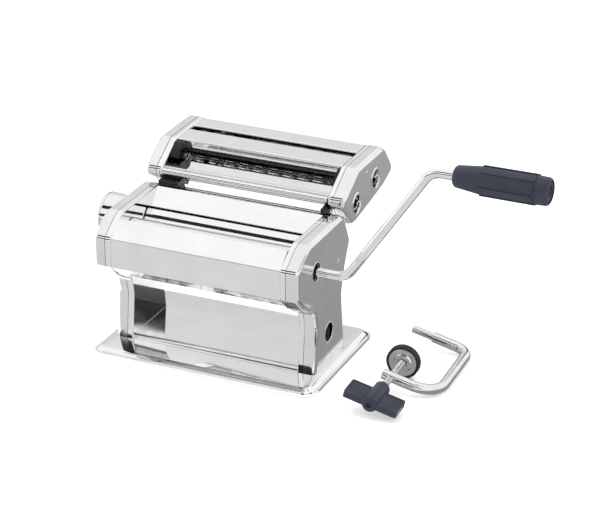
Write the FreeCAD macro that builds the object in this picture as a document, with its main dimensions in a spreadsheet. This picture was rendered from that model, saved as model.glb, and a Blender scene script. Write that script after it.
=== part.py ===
import FreeCAD, Part
import math
import os

import Sketcher

# Hand-cranked pasta roller with a lift-off cutter attachment and its table clamp.
# X points to the crank side, Y to the back and Z up; the origin is the centre of the base on the table.
# Lengths are millimetres, angles degrees.

Vector = FreeCAD.Vector
Rotation = FreeCAD.Rotation
RIGHT = 1
LEFT = -1

doc = FreeCAD.newDocument("PastaRoller")
sheet = doc.addObject("Spreadsheet::Sheet", "Dims")


class Size:
    """A number that also knows the sheet expression which gives it."""

    def __init__(self, number, text):
        self.number = number
        self.text = text

    def combine(self, other, sign, number):
        return Size(number, f"({self.text} {sign} {as_size(other).text})")

    def __add__(self, other):
        return self.combine(other, "+", self.number + as_size(other).number)

    def __sub__(self, other):
        return self.combine(other, "-", self.number - as_size(other).number)

    def __mul__(self, other):
        return self.combine(other, "*", self.number * as_size(other).number)

    def __truediv__(self, other):
        return self.combine(other, "/", self.number / as_size(other).number)

    def __radd__(self, other):
        return as_size(other) + self

    def __rsub__(self, other):
        return as_size(other) - self

    def __rmul__(self, other):
        return as_size(other) * self

    def __neg__(self):
        return Size(-self.number, f"(0 - {self.text})")


def as_size(value):
    return value if isinstance(value, Size) else Size(float(value), f"({float(value):.6f})")


# ---------------------------------------------------------------- driving dimensions

DIMENSIONS = {
    # sheet metal and the planes of the two side assemblies, measured from the middle plane
    "sheet": 0.8,
    "casing_face": 76.0,
    "casing_rim": 80.9,
    "cover_rim": 81.3,
    "cover_face": 92.0,
    "cover_edge_radius": 4.6,
    "outline_corner": 5.5,
    "plate_thick": 3.0,
    # base
    "base_half_width": 101.7,
    "base_half_depth": 66.0,
    "base_corner": 11.0,
    "base_under": 0.8,
    "base_lip_top": 2.9,
    "base_top": 6.7,
    "base_step": 1.6,
    "base_slope": 4.4,
    "leg_bottom": 6.7,
    "foot_radius": 8.0,
    "foot_x": 86.5,
    "foot_y": 51.0,
    "bridge_top": 10.0,
    "bridge_front": -32.3,
    "bridge_back": 29.7,
    # rollers
    "front_axis_y": -35.5,
    "roller_axis_z": 100.0,
    "pivot_y": 0.1,
    "eccentricity": 1.3,
    "roller_radius": 17.0,
    "roller_end": 75.4,
    "journal_radius": 6.0,
    "running": 0.05,
    "socket_radius": 4.1,
    "hub_radius": 10.0,
    "eccentric_radius": 5.5,
    "shaft_end_radius": 3.6,
    "gear_start": 82.0,
    "gear_width": 6.0,
    "gear_teeth": 16.0,
    "gear_outer": 19.2,
    "gear_root": 14.4,
    # tie rods
    "tie_radius": 3.0,
    "tie_thread": 2.5,
    "tie_front_y": -61.5,
    "tie_front_z": 84.5,
    "tie_rear_y": 21.0,
    "tie_rear_z": 84.0,
    "tie_low_y": 11.5,
    "tie_low_z": 68.0,
    # crank
    "rod_radius": 4.0,
    "crank_elbow_x": 118.0,
    "crank_arm_x": 188.8,
    "crank_arm_z": 204.3,
    "crank_bend": 17.0,
    "grip_start": 208.5,
    "grip_step": 231.0,
    "grip_ribs_end": 275.5,
    "grip_end": 286.3,
    "grip_radius": 12.3,
    # cutter attachment
    "cutter_plate": 2.0,
    "cutter_bar_y": 24.2,
    "cutter_bar_z": 136.7,
    "wide_drive_y": 47.5,
    "wide_drive_z": 127.2,
    "wide_driven_y": 60.83,
    "wide_driven_z": 132.09,
    "fine_drive_y": 88.0,
    "fine_drive_z": 134.5,
    "fine_driven_y": 74.91,
    "fine_driven_z": 138.86,
    "cutter_end": 75.2,
    "cutter_shaft": 3.0,
    "cutter_journal": 5.6,
    "wide_pitch": 13.76,
    "fine_pitch": 2.2,
    # clamp
    "bar_radius": 4.5,
    "pin_radius": 3.3,
    "clamp_back": 85.6,
    "clamp_upper": 51.4,
    "clamp_shoulder": 32.3,
    "clamp_lower": 47.4,
    "screw_offset": 39.8,
    "screw_radius": 3.1,
    "pad_gap": 28.2,
    "pad_radius": 14.3,
    "wing_half_span": 23.0,
    "clamp_hole": 8.0,
    "clamp_hole_y": -8.9,
    "clamp_hole_z": 34.3,
}

# outlines seen from the right, clockwise, as (Y, Z)
HEAD_OUTLINE = [
    (-47.0, 128.0), (19.0, 128.0), (27.2, 120.0), (36.5, 100.5), (26.5, 80.0), (20.3, 60.0), (20.6, 50.0),
    (26.4, 6.7), (-37.8, 6.7), (-33.8, 48.0), (-37.0, 63.0), (-48.0, 67.6), (-60.0, 75.6), (-72.3, 88.0),
    (-72.6, 113.4), (-54.6, 125.4),
]
PLATE_OUTLINE = [
    (-48.0, 124.5), (17.0, 124.5), (24.0, 118.0), (32.0, 100.5), (23.0, 81.0), (16.8, 60.0), (17.0, 50.0),
    (22.0, 6.7), (-33.5, 6.7), (-30.0, 49.0), (-33.5, 65.5), (-47.0, 71.5), (-58.5, 79.0), (-68.5, 90.0),
    (-68.5, 111.0), (-53.5, 121.5),
]
CUTTER_OUTLINE = [
    (37.0, 149.5), (50.5, 157.5), (104.0, 157.5), (113.5, 151.6), (127.5, 134.0), (125.2, 126.4),
    (108.0, 120.0), (76.0, 114.4), (46.0, 109.9), (39.5, 111.0), (21.5, 133.0), (22.0, 140.5),
]
CUTTER_PLATE_SINK = 2.2

# sheet covers: the outer fold line of each, as (Y, Z)
FRONT_COVER_FOLDS = [
    (-50.8, 114.0), (-55.3, 125.7), (-71.8, 112.6), (-71.4, 87.2), (-59.6, 76.6), (-55.0, 76.6),
]
HOPPER_FOLDS = [
    (22.6, 74.2), (25.6, 81.2), (35.5, 100.6), (26.5, 119.4), (18.6, 127.3), (14.3, 127.3), (-6.2, 117.6),
]
CUTTER_REAR_FOLDS = [
    (110.0, 121.4), (124.2, 127.0), (126.4, 134.0), (112.8, 150.9), (103.6, 156.7), (85.0, 156.7), (85.0, 148.0),
]
CUTTER_MIDDLE_FOLDS = [(76.2, 149.4), (76.2, 156.6), (52.3, 156.6), (52.3, 147.0)]
CUTTER_FRONT_FOLDS = [(50.4, 141.6), (28.0, 139.6), (27.9, 131.0), (33.6, 121.4)]

for row, (alias, number) in enumerate(DIMENSIONS.items(), start=1):
    sheet.set(f"A{row}", alias.replace("_", " "))
    sheet.set(f"B{row}", f"{number}")
    sheet.setAlias(f"B{row}", alias)
next_row = len(DIMENSIONS) + 1


def add_outline(name, corners):
    """Puts an outline's corners into the sheet and gives them back as pairs of sizes."""
    global next_row
    pairs = []
    for index, corner in enumerate(corners, start=1):
        pair = []
        for letter, number in zip("yz", corner):
            alias = f"{name}_{index}_{letter}"
            sheet.set(f"A{next_row}", alias.replace("_", " "))
            sheet.set(f"B{next_row}", f"{number}")
            sheet.setAlias(f"B{next_row}", alias)
            next_row += 1
            pair.append(Size(number, f"Dims.{alias}"))
        pairs.append(tuple(pair))
    return pairs


head_outline = add_outline("head", HEAD_OUTLINE)
plate_outline = add_outline("plate", PLATE_OUTLINE)
cutter_outline = add_outline("cutter", CUTTER_OUTLINE)
front_cover_folds = add_outline("front_cover", FRONT_COVER_FOLDS)
hopper_folds = add_outline("hopper", HOPPER_FOLDS)
cutter_rear_folds = add_outline("cutter_rear", CUTTER_REAR_FOLDS)
cutter_middle_folds = add_outline("cutter_middle", CUTTER_MIDDLE_FOLDS)
cutter_front_folds = add_outline("cutter_front", CUTTER_FRONT_FOLDS)
doc.recompute()


def dim(alias):
    """One cell of the sheet as a size."""
    return Size(float(sheet.get(alias)), f"Dims.{alias}")


# ---------------------------------------------------------------- modelling helpers

nodes = []


def keep(thing, label):
    """Names a finished sub-part and puts it on the list of kept nodes."""
    thing.Label = label
    nodes.append(thing)
    return thing


def bind(thing, path, size):
    thing.setExpression(path, as_size(size).text)


def new_body(name, position=(0, 0, 0)):
    body = doc.addObject("PartDesign::Body", name)
    body.Placement = FreeCAD.Placement(Vector(*[as_size(p).number for p in position]), Rotation())
    for letter, value in zip("xyz", position):
        bind(body, f".Placement.Base.{letter}", value)
    return body


def plane(body, role):
    return next(item for item in body.Origin.OriginFeatures if item.Role == role)


def new_sketch(body, role, offset=0):
    sketch = body.newObject("Sketcher::SketchObject", "Sketch")
    sketch.AttachmentSupport = [(plane(body, role), "")]
    sketch.MapMode = "FlatFace"
    bind(sketch, ".AttachmentOffset.Base.z", offset)
    return sketch


def draw_polygon(sketch, corners):
    """A closed outline whose every corner is held by two sheet values."""
    points = [Vector(as_size(a).number, as_size(b).number, 0) for a, b in corners]
    count = len(points)
    first = sketch.GeometryCount
    lines = [Part.LineSegment(points[i], points[(i + 1) % count]) for i in range(count)]
    sketch.addGeometry(lines, False)
    for i in range(count):
        follower = first + (i + 1) % count
        sketch.addConstraint(Sketcher.Constraint("Coincident", first + i, 2, follower, 1))
    for i, (across, up) in enumerate(corners):
        for kind, value in (("DistanceX", across), ("DistanceY", up)):
            size = as_size(value)
            index = sketch.addConstraint(Sketcher.Constraint(kind, -1, 1, first + i, 1, size.number))
            bind(sketch, f"Constraints[{index}]", size)


def draw_circle(sketch, across, up, radius):
    centre = Vector(as_size(across).number, as_size(up).number, 0)
    index = sketch.addGeometry(Part.Circle(centre, Vector(0, 0, 1), as_size(radius).number), False)
    rows = [("Radius", radius, None), ("DistanceX", across, 0), ("DistanceY", up, 0)]
    for kind, value, from_origin in rows:
        size = as_size(value)
        if from_origin is None:
            rule = Sketcher.Constraint(kind, index, size.number)
        else:
            rule = Sketcher.Constraint(kind, -1, 1, index, 3, size.number)
        held = sketch.addConstraint(rule)
        bind(sketch, f"Constraints[{held}]", size)


def polygon_sketch(body, role, corners, offset=0):
    sketch = new_sketch(body, role, offset)
    draw_polygon(sketch, corners)
    return sketch


def circle_sketch(body, role, circles, offset=0):
    sketch = new_sketch(body, role, offset)
    for circle in circles:
        draw_circle(sketch, *circle)
    return sketch


def rounded_sketch(body, half_x, half_y, radius, offset=0):
    """A rectangle about the origin with round corners."""
    sketch = new_sketch(body, "XY_Plane", offset)
    x, y, r = (as_size(value).number for value in (half_x, half_y, radius))
    centres = [(x - r, y - r), (r - x, y - r), (r - x, r - y), (x - r, r - y)]
    arcs = []
    for index, (across, up) in enumerate(centres):
        circle = Part.Circle(Vector(across, up, 0), Vector(0, 0, 1), r)
        arcs.append(Part.ArcOfCircle(circle, index * math.pi / 2, (index + 1) * math.pi / 2))
    sketch.addGeometry(arcs, False)
    lines = [Part.LineSegment(arcs[i].EndPoint, arcs[(i + 1) % 4].StartPoint) for i in range(4)]
    sketch.addGeometry(lines, False)
    for index in range(4):
        following = (index + 1) % 4
        sketch.addConstraint(Sketcher.Constraint("Tangent", index, 2, 4 + index, 1))
        sketch.addConstraint(Sketcher.Constraint("Tangent", 4 + index, 2, following, 1))
    signs = [(1, 1), (-1, 1), (-1, -1), (1, -1)]
    for index, (sign_x, sign_y) in enumerate(signs):
        rows = [("DistanceX", (as_size(half_x) - radius) * sign_x), ("DistanceY", (as_size(half_y) - radius) * sign_y)]
        for kind, size in rows:
            held = sketch.addConstraint(Sketcher.Constraint(kind, -1, 1, index, 3, size.number))
            bind(sketch, f"Constraints[{held}]", size)
        held = sketch.addConstraint(Sketcher.Constraint("Radius", index, r))
        bind(sketch, f"Constraints[{held}]", radius)
    return sketch


def rectangle(across_low, across_high, up_low, up_high):
    return [(across_low, up_low), (across_high, up_low), (across_high, up_high), (across_low, up_high)]


def pad(body, sketch, length, side=RIGHT, midplane=False):
    feature = body.newObject("PartDesign::Pad", "Pad")
    feature.Profile = sketch
    bind(feature, "Length", length)
    feature.Reversed = side == LEFT
    feature.Midplane = midplane
    doc.recompute()
    return feature


def pocket_through(body, sketch):
    feature = body.newObject("PartDesign::Pocket", "Pocket")
    feature.Profile = sketch
    feature.Type = "ThroughAll"
    feature.Midplane = True
    doc.recompute()
    return feature


def pocket_depth(body, sketch, depth, away=False):
    feature = body.newObject("PartDesign::Pocket", "Pocket")
    feature.Profile = sketch
    bind(feature, "Length", depth)
    feature.Reversed = away
    doc.recompute()
    return feature


def polar(body, feature, count, axis_role):
    pattern = body.newObject("PartDesign::PolarPattern", "PolarPattern")
    pattern.Originals = [feature]
    pattern.Axis = (plane(body, axis_role), [""])
    bind(pattern, "Occurrences", count)
    body.Tip = pattern
    doc.recompute()
    return pattern


def row_pattern(body, feature, count, pitch, axis_role="X_Axis"):
    pattern = body.newObject("PartDesign::LinearPattern", "LinearPattern")
    pattern.Originals = [feature]
    pattern.Direction = (plane(body, axis_role), [""])
    bind(pattern, "Length", as_size(pitch) * (count - 1))
    pattern.Occurrences = count
    body.Tip = pattern
    doc.recompute()
    return pattern


def edges_where(shape, test):
    return [f"Edge{i}" for i, edge in enumerate(shape.Edges, start=1) if test(edge)]


def runs_along(edge, axis):
    """True for a straight edge parallel to one of the axes."""
    if edge.Curve.TypeId != "Part::GeomLine":
        return False
    return abs(edge.tangentAt(edge.FirstParameter).dot(axis)) > 0.9999


def fillet(body, base, radius, test):
    names = edges_where(base.Shape, test)
    feature = body.newObject("PartDesign::Fillet", "Fillet")
    feature.Base = (base, names)
    bind(feature, "Radius", radius)
    doc.recompute()
    return feature


def lies_at(edge, axis_index, level):
    box = edge.BoundBox
    low = (box.XMin, box.YMin, box.ZMin)[axis_index]
    high = (box.XMax, box.YMax, box.ZMax)[axis_index]
    return abs(low - level) < 1e-4 and abs(high - level) < 1e-4


def hollow(body, base, thick, is_open):
    """Leaves a wall of the given thickness inside the outline and opens the chosen faces."""
    names = [f"Face{i}" for i, face in enumerate(base.Shape.Faces, start=1) if is_open(face)]
    feature = body.newObject("PartDesign::Thickness", "Thickness")
    feature.Base = (base, names)
    bind(feature, "Value", thick)
    feature.Reversed = True
    feature.Join = 1
    doc.recompute()
    return feature


def turned(name, profile, axis_y=0, axis_z=0):
    """A part turned about a line along X: profile corners are (X, radius)."""
    body = new_body(name, (0, axis_y, axis_z))
    sketch = polygon_sketch(body, "XY_Plane", profile)
    feature = body.newObject("PartDesign::Revolution", "Revolution")
    feature.Profile = sketch
    feature.ReferenceAxis = (sketch, ["H_Axis"])
    feature.Angle = 360.0
    doc.recompute()
    return body


def miter(corners, index, closed_ends=True):
    """Unit-thickness offset, to the left of travel, of one corner of an open fold line."""
    def direction(a, b):
        run = (b[0].number - a[0].number, b[1].number - a[1].number)
        length = math.hypot(*run)
        return (run[0] / length, run[1] / length)

    before = direction(corners[index - 1], corners[index]) if index > 0 else None
    after = direction(corners[index], corners[index + 1]) if index < len(corners) - 1 else None
    before = before or after
    after = after or before
    normal = (-(before[1] + after[1]), before[0] + after[0])
    scale = 1 + before[0] * after[0] + before[1] * after[1]
    return (normal[0] / scale, normal[1] / scale)


def folded_sheet(label, folds, half_width, fold_radius=1.4):
    """A folded sheet across the machine: folds are its outer fold lines, the wall lies to their left."""
    body = new_body(label)
    inner = []
    for index, (across, up) in enumerate(folds):
        shift = miter(folds, index)
        inner.append((across + dim("sheet") * shift[0], up + dim("sheet") * shift[1]))
    sketch = polygon_sketch(body, "YZ_Plane", folds + inner[::-1])
    feature = pad(body, sketch, half_width * 2, midplane=True)
    x_axis = Vector(1, 0, 0)

    def at(edge, corners):
        point = edge.Vertexes[0].Point
        return runs_along(edge, x_axis) and any(
            math.hypot(point.y - a.number, point.z - b.number) < 0.05 for a, b in corners
        )

    feature = fillet(body, feature, fold_radius, lambda edge: at(edge, folds[1:-1]))
    fillet(body, feature, fold_radius - 0.7, lambda edge: at(edge, inner[1:-1]))
    return keep(body, label)


def group(label, members):
    """Identical fasteners and pairs kept as one node of separate solids."""
    compound = doc.addObject("Part::Compound", label)
    compound.Links = members
    doc.recompute()
    return keep(compound, label)


def cylinder(name, radius, length, start, direction):
    """A plain cylinder from start along a unit direction."""
    part = doc.addObject("Part::Cylinder", name)
    bind(part, "Radius", radius)
    bind(part, "Height", length)
    turn = Rotation(Vector(0, 0, 1), Vector(*direction))
    part.Placement = FreeCAD.Placement(Vector(*[as_size(p).number for p in start]), turn)
    for letter, value in zip("xyz", start):
        bind(part, f".Placement.Base.{letter}", value)
    return part


# ---------------------------------------------------------------- base

def make_base():
    width = dim("base_half_width")
    depth = dim("base_half_depth")
    corner = dim("base_corner")
    inset = dim("base_step")
    body = new_body("base_plate")
    pad(body, rounded_sketch(body, width, depth, corner, dim("base_under")), dim("base_lip_top") - dim("base_under"))
    raised = rounded_sketch(body, width - inset, depth - inset, corner - inset, dim("base_lip_top"))
    top = pad(body, raised, dim("base_top") - dim("base_lip_top"))
    slope = body.newObject("PartDesign::Chamfer", "Chamfer")
    slope.Base = (top, edges_where(top.Shape, lambda edge: lies_at(edge, 2, dim("base_top").number)))
    slope.ChamferType = "Two distances"
    slope.FlipDirection = BASE_SLOPE_FLIPPED
    bind(slope, "Size", dim("base_top") - dim("base_lip_top") - 1.4)
    bind(slope, "Size2", dim("base_slope"))
    doc.recompute()
    hollow(body, slope, BASE_WALL, lambda face: lies_at(face, 2, dim("base_under").number))
    screw_holes = [(side * BASE_SCREW_X, y, 2.2) for side in (LEFT, RIGHT) for y in BASE_SCREW_Y]
    pocket_through(body, circle_sketch(body, "XY_Plane", screw_holes))
    keep(body, "base_plate")

    feet = []
    for side_x in (LEFT, RIGHT):
        for side_y in (LEFT, RIGHT):
            feet.append(cylinder("foot", dim("foot_radius"), dim("base_top") - BASE_WALL,
                                 (dim("foot_x") * side_x, dim("foot_y") * side_y, 0), (0, 0, 1)))
    group("rubber_feet", feet)

    bridge = new_body("cross_plate")
    front, back = dim("bridge_front"), dim("bridge_back")
    bottom, high, wall = dim("base_top"), dim("bridge_top"), dim("sheet")
    corners = [(front, bottom), (front, high), (back, high), (back, bottom), (back - wall, bottom),
               (back - wall, high - wall), (front + wall, high - wall), (front + wall, bottom)]
    feature = pad(bridge, polygon_sketch(bridge, "YZ_Plane", corners), dim("casing_face") * 2, midplane=True)
    fillet(bridge, feature, 0.75,
           lambda edge: runs_along(edge, Vector(1, 0, 0)) and edge.BoundBox.ZMin > high.number - 0.1)
    keep(bridge, "cross_plate")


BASE_SCREW_X = 84.5
BASE_SLOPE_FLIPPED = False
BASE_WALL = 1.0
BASE_SCREW_Y = (-20.0, 9.0)


# ---------------------------------------------------------------- side assemblies

def tie_points():
    return [(dim(f"tie_{name}_y"), dim(f"tie_{name}_z")) for name in ("front", "rear", "low")]


def side_name(side):
    return "right" if side == RIGHT else "left"


def make_casing(side, outline, start, end, wall, holes, label, face_radius=None, open_inside=False):
    """A pressed tray along X: its face carries the holes and its rim follows the outline."""
    x_axis = Vector(1, 0, 0)
    body = new_body(label, (start * side, 0, 0))
    feature = pad(body, polygon_sketch(body, "YZ_Plane", outline), end - start, side)
    sharp_level = min(corner[1].number for corner in outline) + 0.01
    feature = fillet(body, feature, dim("outline_corner"),
                     lambda edge: runs_along(edge, x_axis) and keeps_round(edge, outline, sharp_level))
    depth = (end - start).number * side
    face_level = depth if open_inside else 0.0
    open_level = 0.0 if open_inside else depth
    if face_radius is not None:
        feature = fillet(body, feature, face_radius,
                         lambda edge: lies_at(edge, 0, face_level) and not is_foot_edge(edge, outline))
    foot_level = dim("leg_bottom").number
    feature = hollow(body, feature, wall, lambda face: lies_at(face, 0, open_level) or lies_at(face, 2, foot_level))
    pocket_through(body, circle_sketch(body, "YZ_Plane", holes))
    return keep(body, label)


def is_foot_edge(edge, outline):
    """The straight bottom edge that stands on the base stays sharp."""
    foot = min(corner[1].number for corner in outline)
    stands = outline is head_outline
    return stands and edge.BoundBox.ZMax < foot + 0.01


def keeps_round(edge, outline, sharp_level):
    if outline is not head_outline:
        return True
    return edge.Vertexes[0].Point.z > sharp_level


def make_machine_sides():
    front = (dim("front_axis_y"), dim("roller_axis_z"))
    pivot = (dim("pivot_y"), dim("roller_axis_z"))
    clamp = (dim("clamp_hole_y"), dim("clamp_hole_z"))
    for side in (LEFT, RIGHT):
        name = side_name(side)
        rear_hole = 12.0 if side == RIGHT else 6.0
        clearance = [(y, z, dim("tie_radius") + 0.1) for y, z in tie_points()]
        holes = [(*front, 9.0), (*pivot, rear_hole)] + clearance
        if side == RIGHT:
            holes.append((*clamp, dim("pin_radius") + 0.2))
        make_casing(side, head_outline, dim("casing_face"), dim("casing_rim"), dim("sheet"), holes,
                    f"inner_casing_{name}", face_radius=1.2)

        plate = new_body(f"side_plate_{name}", ((dim("casing_face") + dim("sheet")) * side, 0, 0))
        pad(plate, polygon_sketch(plate, "YZ_Plane", plate_outline), dim("plate_thick"), side)
        foot_high = 3.0
        foot = polygon_sketch(
            plate, "YZ_Plane", rectangle(-29.0, 18.0, dim("leg_bottom"), dim("leg_bottom") + foot_high))
        pad(plate, foot, 12.0, side)
        threads = [(y, z, dim("tie_thread")) for y, z in tie_points()]
        plate_holes = [(*front, 9.0), (*pivot, rear_hole)] + threads
        if side == RIGHT:
            plate_holes.append((*clamp, dim("pin_radius") + 0.2))
        pocket_through(plate, circle_sketch(plate, "YZ_Plane", plate_holes))
        screw_x = (BASE_SCREW_X - (dim("casing_face") + dim("sheet")).number) * side
        pocket_through(plate, circle_sketch(plate, "XY_Plane", [(screw_x, y, 1.9) for y in BASE_SCREW_Y]))
        keep(plate, f"side_plate_{name}")

        cover_holes = [(RIVET_Y, RIVET_Z[side], 1.5)]
        if side == RIGHT:
            cover_holes += [(*front, 7.7), (*clamp, dim("clamp_hole"))]
        else:
            cover_holes.append((*pivot, 6.0))
            for step in range(7):
                turn = math.radians(30.0 * step - 210.0)
                cover_holes.append((pivot[0] + INDEX_CIRCLE * math.cos(turn),
                                    pivot[1] + INDEX_CIRCLE * math.sin(turn), 1.9))
        make_casing(side, head_outline, dim("cover_rim"), dim("cover_face"), dim("sheet"), cover_holes,
                    f"outer_cover_{name}", face_radius=dim("cover_edge_radius"), open_inside=True)

    tube = dim("tie_radius")
    thread = dim("tie_thread")
    shoulder = dim("casing_face") + dim("sheet")
    tip = shoulder + dim("plate_thick") + 4.0
    rods = []
    nuts = []
    for y, z in tie_points():
        profile = [(-tip, 0), (-tip, thread), (-shoulder, thread), (-shoulder, tube), (shoulder, tube),
                   (shoulder, thread), (tip, thread), (tip, 0)]
        rods.append(turned("tie_rod", profile, y, z))
        for side in (LEFT, RIGHT):
            nuts.append(hex_nut(y, z, side))
    group("tie_rods", rods)
    group("tie_rod_nuts", nuts)


RIVET_Y = 10.8
RIVET_Z = {LEFT: 76.5, RIGHT: 89.7}
INDEX_CIRCLE = 11.5


def hex_nut(y, z, side):
    nut = new_body("nut", ((dim("casing_face") + dim("sheet") + dim("plate_thick")) * side, y, z))
    across = 4.0 / math.cos(math.radians(30))
    corners = [(across * math.cos(math.radians(60 * i)), across * math.sin(math.radians(60 * i))) for i in range(6)]
    pad(nut, polygon_sketch(nut, "YZ_Plane", corners), 2.0, side)
    pocket_through(nut, circle_sketch(nut, "YZ_Plane", [(0, 0, dim("tie_thread"))]))
    return nut


def make_side_details():
    face = dim("casing_face")
    outside = face + dim("sheet") + dim("plate_thick")
    bushes = []
    for side in (LEFT, RIGHT):
        inner = dim("journal_radius") + dim("running")
        profile = [(face * side, inner), (face * side, 9.0), (outside * side, 9.0), (outside * side, 11.0),
                   ((outside + 1.4) * side, 11.0), ((outside + 1.4) * side, inner)]
        bushes.append(turned("front_bush", profile, dim("front_axis_y"), dim("roller_axis_z")))
    group("front_roller_bushes", bushes)

    inner = dim("shaft_end_radius") + dim("running")
    profile = [(-face, inner), (-face, 6.0), (-outside, 6.0), (-outside, 8.5), (-(outside + 1.4), 8.5),
               (-(outside + 1.4), inner)]
    keep(turned("shaft_bush", profile, dim("pivot_y"), dim("roller_axis_z")), "shaft_bush")

    bracket_x = 89.0
    bracket_thick = 1.4
    bracket = new_body("gear_bracket", (bracket_x, 0, 0))
    middle_y = (dim("front_axis_y") + dim("pivot_y")) / 2
    axis_z = dim("roller_axis_z")
    corners = [(middle_y - 5, axis_z + 24), (middle_y + 5, axis_z + 24), (16.0, axis_z + 4), (16.0, 86.0), (6.0, 84.5),
               (middle_y + 5, axis_z - 24), (middle_y - 5, axis_z - 24), (-50.0, axis_z - 4), (-50.0, axis_z + 4)]
    pad(bracket, polygon_sketch(bracket, "YZ_Plane", corners), bracket_thick)
    posts = circle_sketch(bracket, "YZ_Plane", [(middle_y, axis_z + 20, 2.6), (middle_y, axis_z - 20, 2.6)])
    pad(bracket, posts, bracket_x - outside, side=LEFT)
    pocket_through(bracket, circle_sketch(bracket, "YZ_Plane", [
        (dim("front_axis_y"), axis_z, 8.2), (dim("pivot_y"), axis_z, dim("shaft_end_radius") + dim("running")),
        (RIVET_Y, RIVET_Z[RIGHT], 1.5)]))
    keep(bracket, "gear_bracket")

    rivets = []
    head_top = dim("cover_face") + 0.7
    for side, root in ((LEFT, outside), (RIGHT, as_size(bracket_x))):
        profile = [(root * side, 0), (root * side, 1.5), (dim("cover_face") * side, 1.5),
                   (dim("cover_face") * side, 2.7), ((head_top - 0.3) * side, 2.7), (head_top * side, 2.0),
                   (head_top * side, 0)]
        rivets.append(turned("rivet", profile, RIVET_Y, RIVET_Z[side]))
    group("cover_rivets", rivets)

    screws = []
    under = dim("base_top") - BASE_WALL
    for side in (LEFT, RIGHT):
        for y in BASE_SCREW_Y:
            screw = new_body("base_screw", (BASE_SCREW_X * side, y, 0))
            pad(screw, circle_sketch(screw, "XY_Plane", [(0, 0, 3.6)], under - 1.8), 1.8)
            pad(screw, circle_sketch(screw, "XY_Plane", [(0, 0, 1.9)], under), 6.0)
            screws.append(screw)
    group("base_screws", screws)


def make_covers_and_scrapers():
    inside = dim("casing_face")
    folded_sheet("front_cover", front_cover_folds, inside)
    folded_sheet("hopper_cover", hopper_folds, inside)
    front_y, front_z = tie_points()[0]
    rear_y, rear_z = tie_points()[1]
    lift = dim("tie_radius")
    front_blade = [(front_y - 3.0, front_z + lift), (front_y + 4.0, front_z + lift), (-45.7, 85.1)]
    rear_blade = [(11.6, 84.3), (rear_y - 4.0, rear_z + lift), (rear_y + 3.0, rear_z + lift)]
    for label, folds in (("scraper_front", front_blade), ("scraper_rear", rear_blade)):
        corners = [(as_size(y), as_size(z)) for y, z in folds]
        folded_sheet(label, corners, inside - 2.5, fold_radius=1.6)


# ---------------------------------------------------------------- rollers and gears

def gear(name, start, width, teeth, outer, root, bore, axis, phase, tip_half=0.6, root_half=1.6, side=RIGHT):
    """A straight-toothed gear with slim, deep teeth, so that it stays in mesh as its centre moves."""
    body = new_body(name, (start, *axis))
    pad(body, circle_sketch(body, "YZ_Plane", [(0, 0, root)]), width, side)
    base = as_size(root) - 0.5
    tooth = polygon_sketch(body, "YZ_Plane", [(base, -root_half), (outer, -tip_half), (outer, tip_half),
                                              (base, root_half)])
    feature = pad(body, tooth, width, side)
    polar(body, feature, teeth, "X_Axis")
    pocket_through(body, circle_sketch(body, "YZ_Plane", [(0, 0, bore)]))
    turn = Rotation(Vector(1, 0, 0), phase)
    body.Placement = FreeCAD.Placement(body.Placement.Base, turn)
    return keep(body, name)


def make_rollers():
    axis_z = dim("roller_axis_z")
    end = dim("roller_end")
    big = dim("roller_radius")
    neck = dim("journal_radius")
    socket = dim("socket_radius")
    drive_end = as_size(89.4)
    socket_floor = 60.0
    roller = turned("front_roller", [
        (-84.0, 0), (-84.0, neck), (-end, neck), (-end, big - 0.6), (0.6 - end, big), (end - 0.6, big),
        (end, big - 0.6), (end, neck), (drive_end, neck), (drive_end, socket), (socket_floor, socket),
        (socket_floor, 0)], dim("front_axis_y"), axis_z)
    slot = polygon_sketch(roller, "XY_Plane", rectangle(84.4, 91.0, -1.7, 1.7))
    pocket_through(roller, slot)
    keep(roller, "front_roller")

    front = (dim("front_axis_y"), axis_z)
    rear = (dim("pivot_y") + dim("eccentricity"), axis_z)
    half_tooth = 180.0 / dim("gear_teeth").number
    common = (dim("gear_start"), dim("gear_width"), dim("gear_teeth"), dim("gear_outer"), dim("gear_root"))
    gear("front_gear", *common, neck, front, 0.0)
    gear("rear_gear", *common, dim("hub_radius"), rear, half_tooth)

    sleeve_bore = as_size(7.9)
    hub = dim("hub_radius")
    keep(turned("rear_roller", [
        (-end, sleeve_bore), (-end, big - 0.6), (0.6 - end, big), (end - 0.6, big), (end, big - 0.6), (end, hub),
        (88.0, hub), (88.0, sleeve_bore)], *rear), "rear_roller")

    inner = dim("eccentric_radius") + dim("running")
    outer = sleeve_bore - dim("running")
    keep(turned("rear_roller_sleeve", [(-75.2, inner), (-75.2, outer), (87.8, outer), (87.8, inner)], *rear),
         "rear_roller_sleeve")


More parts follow.
